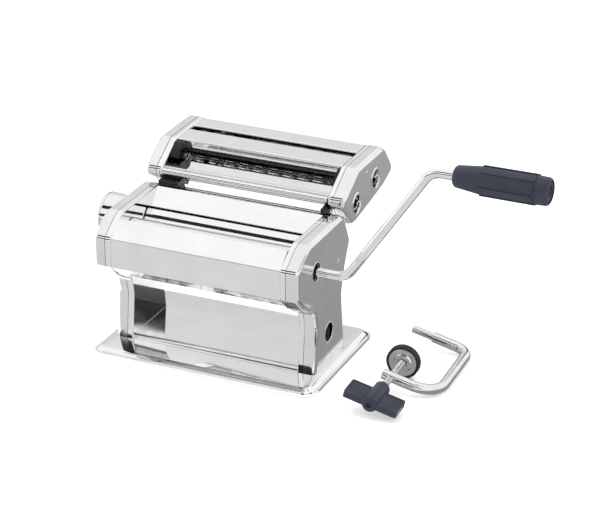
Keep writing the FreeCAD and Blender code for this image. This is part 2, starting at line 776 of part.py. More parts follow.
def make_thickness_control():
    pivot = (dim("pivot_y"), dim("roller_axis_z"))
    low, high = -75.6, 88.4
    left_tip, right_tip = -116.9, 90.8
    shaft = new_body("eccentric_shaft", (0, *pivot))
    main = circle_sketch(shaft, "YZ_Plane", [(dim("eccentricity"), 0, dim("eccentric_radius"))], low)
    pad(shaft, main, high - low)
    thin = dim("shaft_end_radius")
    pad(shaft, circle_sketch(shaft, "YZ_Plane", [(0, 0, thin)], left_tip), low - left_tip + 2.0)
    pad(shaft, circle_sketch(shaft, "YZ_Plane", [(0, 0, thin)], high - 2.0), right_tip - high + 2.0)
    thread = circle_sketch(shaft, "YZ_Plane", [(0, 0, 1.5)], left_tip)
    pocket_depth(shaft, thread, 8.0, away=True)
    keep(shaft, "eccentric_shaft")

    screw = [(-109.4, 0), (-109.4, 1.5), (left_tip, 1.5), (left_tip, 7.0), (-117.4, 7.0), (-117.7, 6.0), (-117.7, 0)]
    keep(turned("knob_screw", screw, *pivot), "knob_screw")

    spring = doc.addObject("Part::Feature", "knob_spring")
    coil_radius, wire_radius, pitch, height = 5.5, 0.5, 1.5, 3.4
    helix = Part.makeHelix(pitch, height, coil_radius)
    ring = Part.Wire(Part.makeCircle(wire_radius, Vector(coil_radius, 0, 0), Vector(0, 1, 0)))
    spring.Shape = Part.Wire(helix.Edges).makePipeShell([ring], True, True)
    spring.Placement = FreeCAD.Placement(
        Vector(left_tip + wire_radius + 0.05, pivot[0].number, pivot[1].number), Rotation(Vector(0, 1, 0), 90))
    keep(spring, "knob_spring")

    bore = thin + dim("running")
    cavity = 8.4
    cap_radius = 12.0
    knob = turned("thickness_knob", [
        (-92.6, bore), (-92.6, 15.2), (-95.0, 16.6), (-103.0, 18.6), (-108.0, 19.4), (-113.6, 19.5), (-113.6, 18.7),
        (-114.5, 18.7), (-114.5, 19.5), (-116.4, 19.2), (-118.2, 17.9), (-119.4, 15.4), (-119.6, cap_radius),
        (-118.1, cap_radius), (-118.1, cavity), (-107.6, cavity), (-107.6, bore)], *pivot)
    mark = polygon_sketch(knob, "XY_Plane", rectangle(-115.6, -107.2, -2.2, 2.2), 18.2)
    pocket_depth(knob, mark, 5.0, away=True)
    pin_hole = circle_sketch(knob, "YZ_Plane", [(0, -INDEX_CIRCLE, 1.5)], -100.6)
    pocket_depth(knob, pin_hole, 9.0, away=True)
    knob.Placement = FreeCAD.Placement(knob.Placement.Base, Rotation(Vector(1, 0, 0), KNOB_MARK_TURN))
    keep(knob, "thickness_knob")

    cap = turned("knob_cap", [(-118.1, 0), (-118.1, cap_radius), (-119.5, cap_radius), (-119.9, 10.5), (-119.9, 0)],
                 *pivot)
    keep(cap, "knob_cap")
    turn = math.radians(KNOB_MARK_TURN - 90.0)
    pin = turned("index_pin", [(-100.6, 0), (-100.6, 1.5), (-92.9, 1.5), (-92.4, 1.1), (-92.4, 0)],
                 pivot[0] + INDEX_CIRCLE * math.cos(turn), pivot[1] + INDEX_CIRCLE * math.sin(turn))
    keep(pin, "index_pin")


KNOB_MARK_TURN = 60.0


# ---------------------------------------------------------------- crank

def bent_rod(name, points, bends, radius, placement=None):
    """A round rod along straight runs joined by tangent bends, all in the body's own XZ plane."""
    body = doc.addObject("PartDesign::Body", name)
    path = new_sketch(body, "XZ_Plane")
    corners = [Vector(as_size(a).number, as_size(b).number, 0) for a, b in points]
    start = corners[0]
    pieces = []
    for index, bend in enumerate(bends, start=1):
        before = (corners[index - 1] - corners[index]).normalize()
        after = (corners[index + 1] - corners[index]).normalize()
        opening = before.getAngle(after)
        reach = bend / math.tan(opening / 2)
        into = corners[index] + before * reach
        out = corners[index] + after * reach
        centre = corners[index] + (before + after).normalize() * (bend / math.sin(opening / 2))
        middle = centre + (corners[index] - centre).normalize() * bend
        pieces.append(Part.LineSegment(start, into))
        pieces.append(Part.Arc(into, middle, out))
        start = out
    pieces.append(Part.LineSegment(start, corners[-1]))
    path.addGeometry(pieces, False)
    for index in range(len(pieces)):
        path.addConstraint(Sketcher.Constraint("Block", index))
    round_section = new_sketch(body, "YZ_Plane", corners[0].x)
    draw_circle(round_section, 0, corners[0].y, radius)
    doc.recompute()
    sweep = body.newObject("PartDesign::AdditivePipe", "Pipe")
    sweep.Profile = round_section
    sweep.Spine = (path, [f"Edge{i + 1}" for i in range(len(pieces))])
    doc.recompute()
    if placement is not None:
        body.Placement = placement
    return body


def make_crank():
    axis_y = dim("front_axis_y")
    axis_z = dim("roller_axis_z")
    inner_end = 62.0
    outer_end = 270.0
    shift = FreeCAD.Placement(Vector(0, axis_y.number, 0), Rotation())
    rod = bent_rod("crank_rod", [
        (inner_end, axis_z), (dim("crank_elbow_x"), axis_z), (dim("crank_arm_x"), dim("crank_arm_z")),
        (outer_end, dim("crank_arm_z"))], [dim("crank_bend").number] * 2, dim("rod_radius"), shift)
    head = circle_sketch(rod, "YZ_Plane", [(0, dim("crank_arm_z"), 6.0)], outer_end - 2.0)
    pad(rod, head, 2.0)
    pin_half = 5.4
    pin = circle_sketch(rod, "XY_Plane", [(86.6, 0, 1.5)], axis_z - pin_half)
    pad(rod, pin, 2 * pin_half)
    keep(rod, "crank_rod")

    bore = dim("rod_radius") + dim("running")
    start, step = dim("grip_start"), dim("grip_step")
    ribs_end, tip = dim("grip_ribs_end"), dim("grip_end")
    full = dim("grip_radius")
    cavity = 8.2
    grip = turned("crank_grip", [
        (start, bore), (start, 7.4), (start + 1.6, 8.9), (step, 11.3), (step, full), (ribs_end, full + 0.1),
        (ribs_end, full - 0.7), (tip - 1.8, full - 1.1), (tip - 0.5, full - 1.8), (tip, full - 2.6),
        (tip, 8.8), (tip - 2.6, 8.8), (tip - 2.6, cavity), (267.0, cavity), (267.0, bore)],
        axis_y, dim("crank_arm_z"))
    groove = polygon_sketch(grip, "XZ_Plane", rectangle(step - 0.1, ribs_end + 0.1, full - 0.75, full + 1.0))
    cut = body_pocket_midplane(grip, groove, 2.6)
    polar(grip, cut, 8, "X_Axis")
    keep(grip, "crank_grip")
    cap = turned("grip_cap", [
        (tip - 2.6, 0), (tip - 2.6, 8.8), (tip - 0.9, 8.8), (tip - 0.5, 8.0), (tip - 0.5, 5.2), (tip - 1.4, 4.4),
        (tip - 1.4, 0)], axis_y, dim("crank_arm_z"))
    keep(cap, "grip_cap")


def body_pocket_midplane(body, sketch, width):
    feature = body.newObject("PartDesign::Pocket", "Pocket")
    feature.Profile = sketch
    feature.Midplane = True
    bind(feature, "Length", width)
    doc.recompute()
    return feature


# ---------------------------------------------------------------- cutter attachment

def cutter_axes():
    names = ("wide_drive", "wide_driven", "fine_drive", "fine_driven")
    return {name: (dim(f"{name}_y"), dim(f"{name}_z")) for name in names}


def comb_profile(half_length, pitch, land, floor, shifted):
    """Alternating lands and grooves between two shaft ends, as (X, radius) pairs."""
    count = int(half_length * 2 / pitch)
    start = -count * pitch / 2 + (pitch / 2 if shifted else 0.0)
    corners = []
    for index in range(count if not shifted else count - 1):
        left = start + index * pitch
        right = left + land[1]
        corners += [(left, floor), (left, land[0]), (right, land[0]), (right, floor)]
    return corners


def cutter_roller(label, axis, pitch, ridge_radius, floor_radius, shifted, driven):
    """A cutter roller: shaft, ridges across its length, and a drive socket on the right of a driving one."""
    half = 73.0
    clearance = 0.12
    land = (ridge_radius, pitch / 2 - clearance)
    end = dim("cutter_end").number
    thin = dim("cutter_shaft").number
    corners = [(-LEFT_SHAFT_END[label], 0), (-LEFT_SHAFT_END[label], thin), (-end, thin), (-end, floor_radius)]
    corners += comb_profile(half, pitch, land, floor_radius, shifted)
    if driven:
        corners += [(end, floor_radius), (end, thin), (82.0, thin), (82.0, 0)]
    else:
        neck = dim("cutter_journal").number
        socket = dim("socket_radius").number
        corners += [(end, floor_radius), (end, neck), (90.6, neck), (90.6, socket), (66.0, socket), (66.0, 0)]
    wire = Part.makePolygon([Vector(x, r, 0) for x, r in corners + corners[:1]])
    solid = Part.Face(wire).revolve(Vector(0, 0, 0), Vector(1, 0, 0), 360)
    if not driven:
        slot = Part.makeBox(7.0, 20.0, 3.4, Vector(85.6, -10.0, -1.7))
        solid = solid.cut(slot)
    feature = doc.addObject("Part::Feature", label)
    feature.Shape = solid
    feature.Placement = FreeCAD.Placement(Vector(0, axis[0].number, axis[1].number), Rotation())
    for letter, value in zip("yz", axis):
        bind(feature, f".Placement.Base.{letter}", value)
    return keep(feature, label)


LEFT_SHAFT_END = {
    "wide_drive_cutter": 86.0,
    "wide_driven_cutter": 86.0,
    "fine_drive_cutter": 90.6,
    "fine_driven_cutter": 90.6,
}


def make_cutter_rollers():
    axes = cutter_axes()
    wide = (dim("wide_pitch").number, 7.6, 5.9)
    fine = (dim("fine_pitch").number, 7.4, 6.0)
    cutter_roller("wide_drive_cutter", axes["wide_drive"], *wide, False, False)
    cutter_roller("wide_driven_cutter", axes["wide_driven"], *wide, True, True)
    cutter_roller("fine_drive_cutter", axes["fine_drive"], *fine, False, False)
    cutter_roller("fine_driven_cutter", axes["fine_driven"], *fine, True, True)
    teeth = 12
    for kind, start, outer, root in (("wide", 79.2, 8.0, 5.5), ("fine", 84.6, 7.8, 5.4)):
        drive = axes[f"{kind}_drive"]
        driven = axes[f"{kind}_driven"]
        line = math.degrees(math.atan2(driven[1].number - drive[1].number, driven[0].number - drive[0].number))
        for role, axis, phase in (("drive", drive, line), ("driven", driven, line + 180.0 / teeth)):
            width = 5.0
            gear(f"{kind}_{role}_gear", -start, width, teeth, outer, root, dim("cutter_shaft"), axis, phase,
                 tip_half=0.3, root_half=0.75, side=LEFT)


def make_cutter_shell():
    axes = cutter_axes()
    bush_holes = {}
    for side in (LEFT, RIGHT):
        name = side_name(side)
        holes = []
        for role, (y, z) in axes.items():
            wide_neck = side == RIGHT and not role.endswith("driven")
            holes.append((y, z, 7.2 if wide_neck else 5.0))
        bush_holes[side] = holes
        make_casing(side, cutter_outline, dim("casing_face"), dim("casing_rim"), dim("cutter_plate"), holes,
                    f"cutter_casing_{name}", face_radius=2.6)
        cover_holes = [(CUTTER_RIVET_Y, CUTTER_RIVET_Z, 1.4)]
        if side == RIGHT:
            cover_holes += [(*axes["wide_drive"], 7.6), (*axes["fine_drive"], 7.6)]
        make_casing(side, cutter_outline, dim("cover_rim"), dim("cover_face"), dim("sheet"), cover_holes,
                    f"cutter_cover_{name}", face_radius=dim("cover_edge_radius"), open_inside=True)
    bushes = []
    face = dim("casing_face")
    for side, holes in bush_holes.items():
        for y, z, outer in holes:
            neck = dim("cutter_journal") if outer > 6 else dim("cutter_shaft")
            inner = neck + dim("running")
            bushes.append(turned("cutter_bush", [
                (face * side, inner), (face * side, outer), ((face + dim("cutter_plate")) * side, outer),
                ((face + dim("cutter_plate")) * side, inner)], y, z))
    group("cutter_bushes", bushes)

    rivets = []
    head_top = dim("cover_face") + 0.6
    for side in (LEFT, RIGHT):
        profile = [(78.0 * side, 0), (78.0 * side, 1.4), (dim("cover_face") * side, 1.4),
                   (dim("cover_face") * side, 2.4), ((head_top - 0.3) * side, 2.4), (head_top * side, 1.8),
                   (head_top * side, 0)]
        rivets.append(turned("cutter_rivet", profile, CUTTER_RIVET_Y, CUTTER_RIVET_Z))
    group("cutter_rivets", rivets)

    bar_end = dim("casing_face")
    bar = turned("cutter_front_bar", [(-bar_end, 0), (-bar_end, 3.0), (bar_end, 3.0), (bar_end, 0)],
                 dim("cutter_bar_y"), dim("cutter_bar_z"))
    keep(bar, "cutter_front_bar")


CUTTER_RIVET_Y = 68.7
CUTTER_RIVET_Z = 146.6


def make_cutter_covers():
    inside = dim("casing_face")
    rear = folded_sheet("cutter_rear_plate", cutter_rear_folds, inside)
    pitch = dim("fine_pitch")
    teeth = 64
    low, high = 147.0, 152.4
    first = -(teeth - 1) / 2 * pitch
    slit = polygon_sketch(rear, "XZ_Plane", rectangle(first - 0.55, first + 0.55, low, high), -86.5)
    cut = pocket_depth(rear, slit, 3.0, away=True)
    row_pattern(rear, cut, teeth, pitch)

    folded_sheet("cutter_middle_cover", cutter_middle_folds, inside)

    front = folded_sheet("cutter_front_plate", cutter_front_folds, inside)
    notches = 11
    wide = dim("wide_pitch")
    first = -(notches - 1) / 2 * wide
    notch = polygon_sketch(front, "XY_Plane", rectangle(first - 3.3, first + 3.3, 46.4, 52.0), 136.0)
    cut = pocket_depth(front, notch, 10.0, away=True)
    row_pattern(front, cut, notches, wide)

    pieces = []
    for side, cheek_width, hook_width in ((LEFT, 8.0, 18.0), (RIGHT, 2.0, 3.0)):
        inwards = LEFT if side == RIGHT else RIGHT
        cheek = new_body("slot_cheek", (inside * side, 0, 0))
        corners = [(38.5, 143.0), (51.8, 144.0), (51.8, 155.8), (48.0, 155.0), (42.5, 151.0)]
        feature = pad(cheek, polygon_sketch(cheek, "YZ_Plane", corners), cheek_width, inwards)
        fillet(cheek, feature, 1.5, lambda edge: runs_along(edge, Vector(1, 0, 0)))
        hook = new_body("hook", (inside * side, 0, 0))
        corners = [(15.5, 127.75), (18.9, 127.75), (27.1, 119.5), (31.2, 121.4), (27.4, 128.6), (27.0, 133.0),
                   (15.5, 131.4)]
        pad(hook, polygon_sketch(hook, "YZ_Plane", corners), hook_width, inwards)
        pieces += [cheek, hook]
    group("cutter_end_blocks", pieces)

    for label, low_y, high_y, level, count, spacing in (
            ("wide_comb", 39.0, 52.5, 117.6, 11, dim("wide_pitch")),
            ("fine_comb", 83.0, 97.0, 124.6, 66, dim("fine_pitch"))):
        comb = new_body(label)
        strip = polygon_sketch(comb, "YZ_Plane", rectangle(low_y, high_y, level, level + 1.2))
        pad(comb, strip, inside * 2, midplane=True)
        gap = spacing * 0.24
        first = -(count - 1) / 2 * spacing
        slot = polygon_sketch(comb, "XY_Plane", rectangle(first - gap, first + gap, high_y - 5.0, high_y + 1.0),
                              level - 1.0)
        cut = pocket_depth(comb, slot, 4.0, away=True)
        row_pattern(comb, cut, count, spacing)
        keep(comb, label)


# ---------------------------------------------------------------- table clamp

def clamp_placement():
    """The clamp lies on the elbows of its back and on the pad's rim, pin towards the machine."""
    lift = pad_tilt()
    back = Vector(0.0437, -0.9990, 0.0).normalize()
    level = Vector(back.y, -back.x, 0.0)
    arm = level * math.cos(lift) + Vector(0, 0, math.sin(lift))
    normal = back.cross(arm)
    matrix = FreeCAD.Matrix(
        arm.x, normal.x, back.x, 190.0,
        arm.y, normal.y, back.y, 60.4,
        arm.z, normal.z, back.z, dim("bar_radius").number + REST_GAP,
        0, 0, 0, 1)
    return FreeCAD.Placement(matrix)


REST_GAP = 0.02


def pad_tilt():
    """Angle at which the pad's rim just reaches the table."""
    rise = dim("pad_radius").number - dim("bar_radius").number
    return math.asin(rise / dim("screw_offset").number)


def along_screw(name, profile, placement):
    """A clamp part turned about the screw line, which runs along the clamp frame's Z."""
    body = doc.addObject("PartDesign::Body", name)
    sketch = polygon_sketch(body, "XZ_Plane", [(radius, level) for level, radius in profile])
    feature = body.newObject("PartDesign::Revolution", "Revolution")
    feature.Profile = sketch
    feature.ReferenceAxis = (sketch, ["V_Axis"])
    feature.Angle = 360.0
    doc.recompute()
    offset = FreeCAD.Placement(
        Vector(dim("screw_offset").number, 0, dim("clamp_back").number), Rotation())
    body.Placement = placement.multiply(offset)
    return body


def make_clamp():
    placement = clamp_placement()
    bar_radius = dim("bar_radius")
    shoulder = dim("clamp_shoulder")
    tip = dim("clamp_upper")
    low_end = dim("clamp_lower")
    drop = dim("clamp_back")
    bar = bent_rod("clamp_bar", [(low_end, drop), (0, drop), (0, 0), (shoulder, 0)], [22.0, 11.0], bar_radius)
    pin = circle_sketch(bar, "YZ_Plane", [(0, 0, dim("pin_radius"))], shoulder)
    feature = pad(bar, pin, tip - shoulder)
    ends = lambda edge: lies_at(edge, 0, tip.number) or lies_at(edge, 0, low_end.number)
    fillet(bar, feature, 0.8, ends)
    hole = circle_sketch(bar, "XY_Plane", [(dim("screw_offset"), 0, dim("screw_radius") + dim("running"))],
                         drop - 10.0)
    pocket_depth(bar, hole, 20.0, away=True)
    bar.Placement = placement
    keep(bar, "clamp_bar")

    gap = dim("pad_gap")
    thread = dim("screw_radius")
    neck = 2.2
    screw = [(-gap - 2.6, 0), (-gap - 2.6, 4.0), (-gap - 1.4, 4.0), (-gap - 1.4, neck), (0.6 - gap, neck),
             (1.2 - gap, thread), (27.0, thread), (27.0, 0)]
    keep(along_screw("clamp_screw", screw, placement), "clamp_screw")
    slack = dim("running")
    disc = [(-gap - 3.0, 4.0 + slack), (-gap - 3.0, 12.4), (0.4 - gap, 12.4), (0.9 - gap, 11.9), (0.9 - gap, 8.0),
            (1.9 - gap, 7.0), (1.9 - gap, 4.4), (1.2 - gap, 4.4), (0.3 - gap, neck + slack),
            (-gap - 1.35, neck + slack), (-gap - 1.35, 4.0 + slack)]
    keep(along_screw("clamp_pad_disc", disc, placement), "clamp_pad_disc")
    rim = dim("pad_radius")
    rubber = [(-gap - 5.4, 0), (-gap - 5.4, rim - 1.0), (-gap - 4.6, rim), (0.8 - gap, rim), (1.4 - gap, rim - 0.6),
              (1.4 - gap, 13.0), (0.4 - gap, 12.4), (-gap - 3.0, 12.4), (-gap - 3.0, 0)]
    keep(along_screw("clamp_pad_rubber", rubber, placement), "clamp_pad_rubber")

    wing = along_screw("clamp_wing", [(20.0, 0), (20.0, 5.6), (22.0, 6.6), (50.0, 6.9), (52.6, 6.0), (53.2, 4.4),
                                      (53.2, 0)], placement)
    span = dim("wing_half_span")
    blade = polygon_sketch(wing, "XZ_Plane", [
        (-span, 31.4), (-span + 1.2, 29.6), (-6.0, 30.4), (6.0, 30.4), (span - 1.2, 29.6), (span, 31.4),
        (span + 0.6, 50.6), (span - 1.2, 52.4), (6.0, 51.4), (-6.0, 51.4), (1.2 - span, 52.4), (-span - 0.6, 50.6)])
    feature = pad(wing, blade, 5.6, midplane=True)
    bore = circle_sketch(wing, "XY_Plane", [(0, 0, thread)], 19.0)
    pocket_depth(wing, bore, 8.0, away=True)
    keep(wing, "clamp_wing")


# ---------------------------------------------------------------- build, test and write

make_base()
make_machine_sides()
make_side_details()
make_covers_and_scrapers()
make_rollers()
make_thickness_control()
make_crank()
make_cutter_shell()
make_cutter_rollers()
make_cutter_covers()
make_clamp()
doc.recompute()

faults = [item.Label for item in doc.Objects if "Invalid" in item.State or "Error" in item.State]
faults += [node.Label for node in nodes if node.Shape.isNull() or not node.Shape.isValid()]
if faults:
    raise RuntimeError("failed objects: " + ", ".join(sorted(set(faults))))

os.makedirs("parts", exist_ok=True)
for node in nodes:
    node.Shape.exportStep(f"parts/{node.Label}.step")
    print(f"{node.Label:24s} {node.Shape.Volume:12.1f} mm3 {len(node.Shape.Solids)} solid(s)")
print(len(nodes), "nodes")
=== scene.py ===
"""Looks of a hand-cranked pasta roller with its cutter attachment, crank and table clamp.

Everything is in metres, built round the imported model: +X is the crank side, +Y the back and +Z up.
"""

import logging
import math
from contextlib import contextmanager
from dataclasses import dataclass, field
from enum import Enum
from typing import Callable, Iterator

import bpy
from mathutils import Matrix, Vector


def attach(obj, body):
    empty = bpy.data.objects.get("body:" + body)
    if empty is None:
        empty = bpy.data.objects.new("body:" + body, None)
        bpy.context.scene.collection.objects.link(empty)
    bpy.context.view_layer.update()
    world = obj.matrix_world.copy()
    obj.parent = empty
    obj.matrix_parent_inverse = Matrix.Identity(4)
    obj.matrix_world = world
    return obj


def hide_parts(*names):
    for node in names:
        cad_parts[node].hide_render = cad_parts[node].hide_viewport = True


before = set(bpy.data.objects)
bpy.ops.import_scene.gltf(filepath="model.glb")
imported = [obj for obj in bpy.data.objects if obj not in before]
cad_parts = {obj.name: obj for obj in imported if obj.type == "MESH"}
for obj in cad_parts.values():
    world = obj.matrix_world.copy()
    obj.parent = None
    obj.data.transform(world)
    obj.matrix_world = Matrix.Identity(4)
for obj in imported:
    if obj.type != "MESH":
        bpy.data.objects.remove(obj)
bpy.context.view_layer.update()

MM = 0.001
LOG = logging.getLogger("pasta_roller")

Pair = tuple[float, float]
Triple = tuple[float, float, float]
Socket = bpy.types.NodeSocket
Piece = bpy.types.Object

# Points closer together than this are joined up.
MERGE = 0.002 * MM

# Steepest angles, in degrees, that are still shaded smooth.
SHEET_ANGLE = 38.0
ROD_ANGLE = 40.0
RIM_ANGLE = 60.0
BLADE_ANGLE = 30.0

# Sockets of a Mix node set to colours.
MIX_FIRST, MIX_SECOND, MIX_RESULT = 6, 7, 2


# ---------------------------------------------------------------- finishes


class Tree:
    """A material's node tree, with short ways to add and join nodes."""

    def __init__(self, name: str) -> None:
        """Starts a material of that name with its one principled shader."""
        self.material = bpy.data.materials.new(name)
        self.material.use_nodes = True
        self.nodes = self.material.node_tree.nodes
        self.links = self.material.node_tree.links
        self.shader = self.nodes["Principled BSDF"]
        self.place = self.add("ShaderNodeTexCoord").outputs["Object"]

    def add(self, kind: str, **values: object) -> bpy.types.Node:
        """Adds a node.

        Args:
            kind: Blender's name of the node type.
            values: Input sockets by name with underscores for spaces, or the node's own settings.

        Returns:
            The new node.
        """
        node = self.nodes.new(kind)
        for name, value in values.items():
            socket = node.inputs.get(name.replace("_", " "))
            if socket is None:
                setattr(node, name, value)
            elif isinstance(value, bpy.types.NodeSocket):
                self.links.new(value, socket)
            else:
                socket.default_value = value
        return node

    def noise(self, scale: float, stretch: Triple = (1.0, 1.0, 1.0), detail: float = 3.0) -> Socket:
        """Adds a noise on the object's own coordinates.

        Args:
            scale: Waves per metre.
            stretch: How much finer the noise is along X, Y and Z.
            detail: Levels of finer noise on top.

        Returns:
            The noise's factor.
        """
        mapped = self.add("ShaderNodeMapping", Vector=self.place, Scale=stretch)
        texture = self.add(
            "ShaderNodeTexNoise", Vector=mapped.outputs["Vector"], Scale=scale, Detail=detail)
        return texture.outputs["Fac"]

    def between(self, factor: Socket, low: float, high: float, span: Pair = (0.3, 0.7)) -> Socket:
        """Maps a factor to a range of numbers.

        Args:
            factor: The socket to read.
            low: Result at the start of the span.
            high: Result at the end of the span.
            span: The factor's values that give low and high.

        Returns:
            The mapped value.
        """
        node = self.add("ShaderNodeMapRange")
        self.links.new(factor, node.inputs["Value"])
        node.inputs["From Min"].default_value, node.inputs["From Max"].default_value = span
        node.inputs["To Min"].default_value, node.inputs["To Max"].default_value = low, high
        return node.outputs["Result"]

    def total(self, first: Socket, second: Socket) -> Socket:
        """Adds two numbers.

        Args:
            first: One number.
            second: The other.

        Returns:
            Their sum.
        """
        node = self.add("ShaderNodeMath", operation="ADD")
        self.links.new(first, node.inputs[0])
        self.links.new(second, node.inputs[1])
        return node.outputs[0]

    def blend(self, factor: Socket, first: Triple, second: Triple) -> Socket:
        """Mixes two colours by a factor.

        Args:
            factor: The socket to read.
            first: Colour at factor 0.
            second: Colour at factor 1.

        Returns:
            The mixed colour.
        """
        node = self.add("ShaderNodeMix", data_type="RGBA")
        self.links.new(factor, node.inputs["Factor"])
        node.inputs[MIX_FIRST].default_value = (*first, 1.0)
        node.inputs[MIX_SECOND].default_value = (*second, 1.0)
        return node.outputs[MIX_RESULT]

    def bump(self, height: Socket, depth: float, under: Socket | None = None) -> Socket:
        """Adds relief.

        Args:
            height: The relief's pattern.
            depth: Its depth in metres.
            under: A relief that this one lies on.

        Returns:
            The bent normal.
        """
        node = self.add("ShaderNodeBump", Height=height, Distance=depth)
        if under is not None:
            self.links.new(under, node.inputs["Normal"])
        return node.outputs["Normal"]

    def drive(self, socket: str, source: Socket) -> None:
        """Feeds one of the shader's sockets."""
        self.links.new(source, self.shader.inputs[socket])


class Grain(Enum):
    """The way a metal's fine marks run, as the stretch of a noise along X, Y and Z."""

    UPRIGHT = (1.0, 1.0, 0.03)
    ROUND = (1.0, 0.08, 0.08)
    EVEN = (1.0, 1.0, 1.0)


@dataclass(frozen=True)
class Finish:
    """What every surface has: two colours and two roughnesses that a slow noise mixes."""

    name: str
    colour: Triple
    tint: Triple
    smooth: float
    worn: float

    def shade(self, tree: Tree) -> None:
        """Fills the material's node tree."""
        raise NotImplementedError

    def material(self) -> bpy.types.Material:
        """Builds the material.

        Returns:
            The material, or the one made before.
        """
        if self.name in bpy.data.materials:
            return bpy.data.materials[self.name]
        tree = Tree(self.name)
        self.shade(tree)
        return tree.material


@dataclass(frozen=True)
class MetalFinish(Finish):
    """A bare or plated metal: waves from the pressing, fine polishing marks and faint smudges.

    Scales are in waves per metre and depths in metres.
    """

    wave_depth: float
    wave_scale: float = 16.0
    grain: Grain = Grain.EVEN
    grain_scale: float = 900.0
    grain_depth: float = 0.000002
    grain_wear: float = 0.35
    smudge_scale: float = 45.0

    def shade(self, tree: Tree) -> None:
        """Fills the material's node tree."""
        tree.shader.inputs["Metallic"].default_value = 1.0
        smudges = tree.noise(self.smudge_scale, detail=5.0)
        marks = tree.noise(self.grain_scale, self.grain.value, 2.0)
        mix = tree.between(smudges, 0.0, 1.0)
        tree.drive("Base Color", tree.blend(mix, self.colour, self.tint))
        wear = self.grain_wear * self.smooth
        tree.drive("Roughness", tree.total(
            tree.between(smudges, self.smooth, self.worn), tree.between(marks, -wear, wear)))
        waves = tree.bump(tree.noise(self.wave_scale, detail=1.0), self.wave_depth)
        tree.drive("Normal", tree.bump(marks, self.grain_depth, waves))


@dataclass(frozen=True)
class MouldedFinish(Finish):
    """A moulded plastic or rubber: the mould's fine pebble over shallow sink marks.

    Scales are in waves per metre and depths in metres.
    """

    pebble_scale: float = 1500.0
    pebble_depth: float = 0.00003
    specular: float = 0.5
    patch_scale: float = 60.0
    sink_scale: float = 120.0
    sink_depth: float = 0.00008

    def shade(self, tree: Tree) -> None:
        """Fills the material's node tree."""
        tree.shader.inputs["Specular IOR Level"].default_value = self.specular
        patches = tree.noise(self.patch_scale, detail=4.0)
        pebble = tree.noise(self.pebble_scale, detail=2.0)
        mix = tree.between(patches, 0.0, 1.0)
        tree.drive("Base Color", tree.blend(mix, self.colour, self.tint))
        tree.drive("Roughness", tree.between(patches, self.smooth, self.worn))
        sinks = tree.bump(tree.noise(self.sink_scale, detail=1.0), self.sink_depth)
        tree.drive("Normal", tree.bump(pebble, self.pebble_depth, sinks))


# Each finish gives its name, its colour and its tint first. No finish has the name of one of the
# record's slots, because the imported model's plain materials already carry those names.
MIRROR_SHEET = MetalFinish(
    "mirror_sheet", (0.86, 0.86, 0.855), (0.80, 0.80, 0.795), smooth=0.035, worn=0.075,
    wave_depth=0.00022)
COVER_SHEET = MetalFinish(
    "cover_sheet", (0.80, 0.80, 0.81), (0.73, 0.73, 0.745), smooth=0.07, worn=0.13,
    wave_depth=0.0003, grain_scale=1400.0)
BASE_SHEET = MetalFinish(
    "base_sheet", (0.84, 0.84, 0.835), (0.78, 0.78, 0.775), smooth=0.03, worn=0.07,
    wave_depth=0.00018)
BRUSHED_STEEL = MetalFinish(
    "brushed_steel_side", (0.62, 0.62, 0.63), (0.55, 0.55, 0.56), smooth=0.22, worn=0.34,
    wave_depth=0.0001, grain=Grain.UPRIGHT, grain_depth=0.00001)
TURNED_STEEL = MetalFinish(
    "turned_steel", (0.60, 0.60, 0.61), (0.52, 0.52, 0.53), smooth=0.22, worn=0.32,
    wave_depth=0.00005, grain=Grain.ROUND, grain_depth=0.000008)
ROLLER_STEEL = MetalFinish(
    "ground_roller", (0.84, 0.84, 0.84), (0.79, 0.79, 0.79), smooth=0.05, worn=0.09,
    wave_depth=0.00006, grain=Grain.ROUND, grain_scale=1800.0, grain_depth=0.000003)
CUTTER_STEEL = MetalFinish(
    "cutter_steel", (0.16, 0.16, 0.165), (0.12, 0.12, 0.125), smooth=0.16, worn=0.26,
    wave_depth=0.00004, grain=Grain.ROUND, grain_scale=1800.0)
CRANK_CHROME = MetalFinish(
    "crank_chrome", (0.84, 0.85, 0.87), (0.78, 0.79, 0.81), smooth=0.04, worn=0.08,
    wave_depth=0.00003)
ZINC_PLATE = MetalFinish(
    "zinc_plate", (0.80, 0.81, 0.82), (0.70, 0.71, 0.72), smooth=0.13, worn=0.22,
    wave_depth=0.00012, wave_scale=60.0, grain_scale=2200.0, grain_depth=0.000005)
DIAL_SATIN = MetalFinish(
    "dial_satin", (0.70, 0.70, 0.71), (0.64, 0.64, 0.65), smooth=0.2, worn=0.28,
    wave_depth=0.00003, grain=Grain.ROUND, grain_scale=2500.0, grain_depth=0.000006)
BRONZE = MetalFinish(
    "bush_bronze", (0.62, 0.45, 0.20), (0.52, 0.36, 0.15), smooth=0.25, worn=0.4,
    wave_depth=0.00003, grain=Grain.ROUND)
SLATE_PLASTIC = MouldedFinish(
    "slate_moulding", (0.022, 0.028, 0.045), (0.017, 0.022, 0.036), smooth=0.36, worn=0.48,
    specular=0.35)
CAP_PLASTIC = MouldedFinish(
    "cap_moulding", (0.011, 0.013, 0.024), (0.008, 0.010, 0.019), smooth=0.3, worn=0.42,
    specular=0.35)
BLACK_PLASTIC = MouldedFinish(
    "black_moulding", (0.006, 0.006, 0.006), (0.009, 0.009, 0.009), smooth=0.2, worn=0.32,
    specular=0.3)
NYLON = MouldedFinish(
    "white_nylon", (0.72, 0.71, 0.67), (0.66, 0.65, 0.60), smooth=0.38, worn=0.5)
RUBBER = MouldedFinish(
    "black_rubber", (0.014, 0.014, 0.015), (0.022, 0.022, 0.023), smooth=0.55, worn=0.75,
    pebble_scale=2200.0, pebble_depth=0.00004, specular=0.3)


# ---------------------------------------------------------------- bench tools


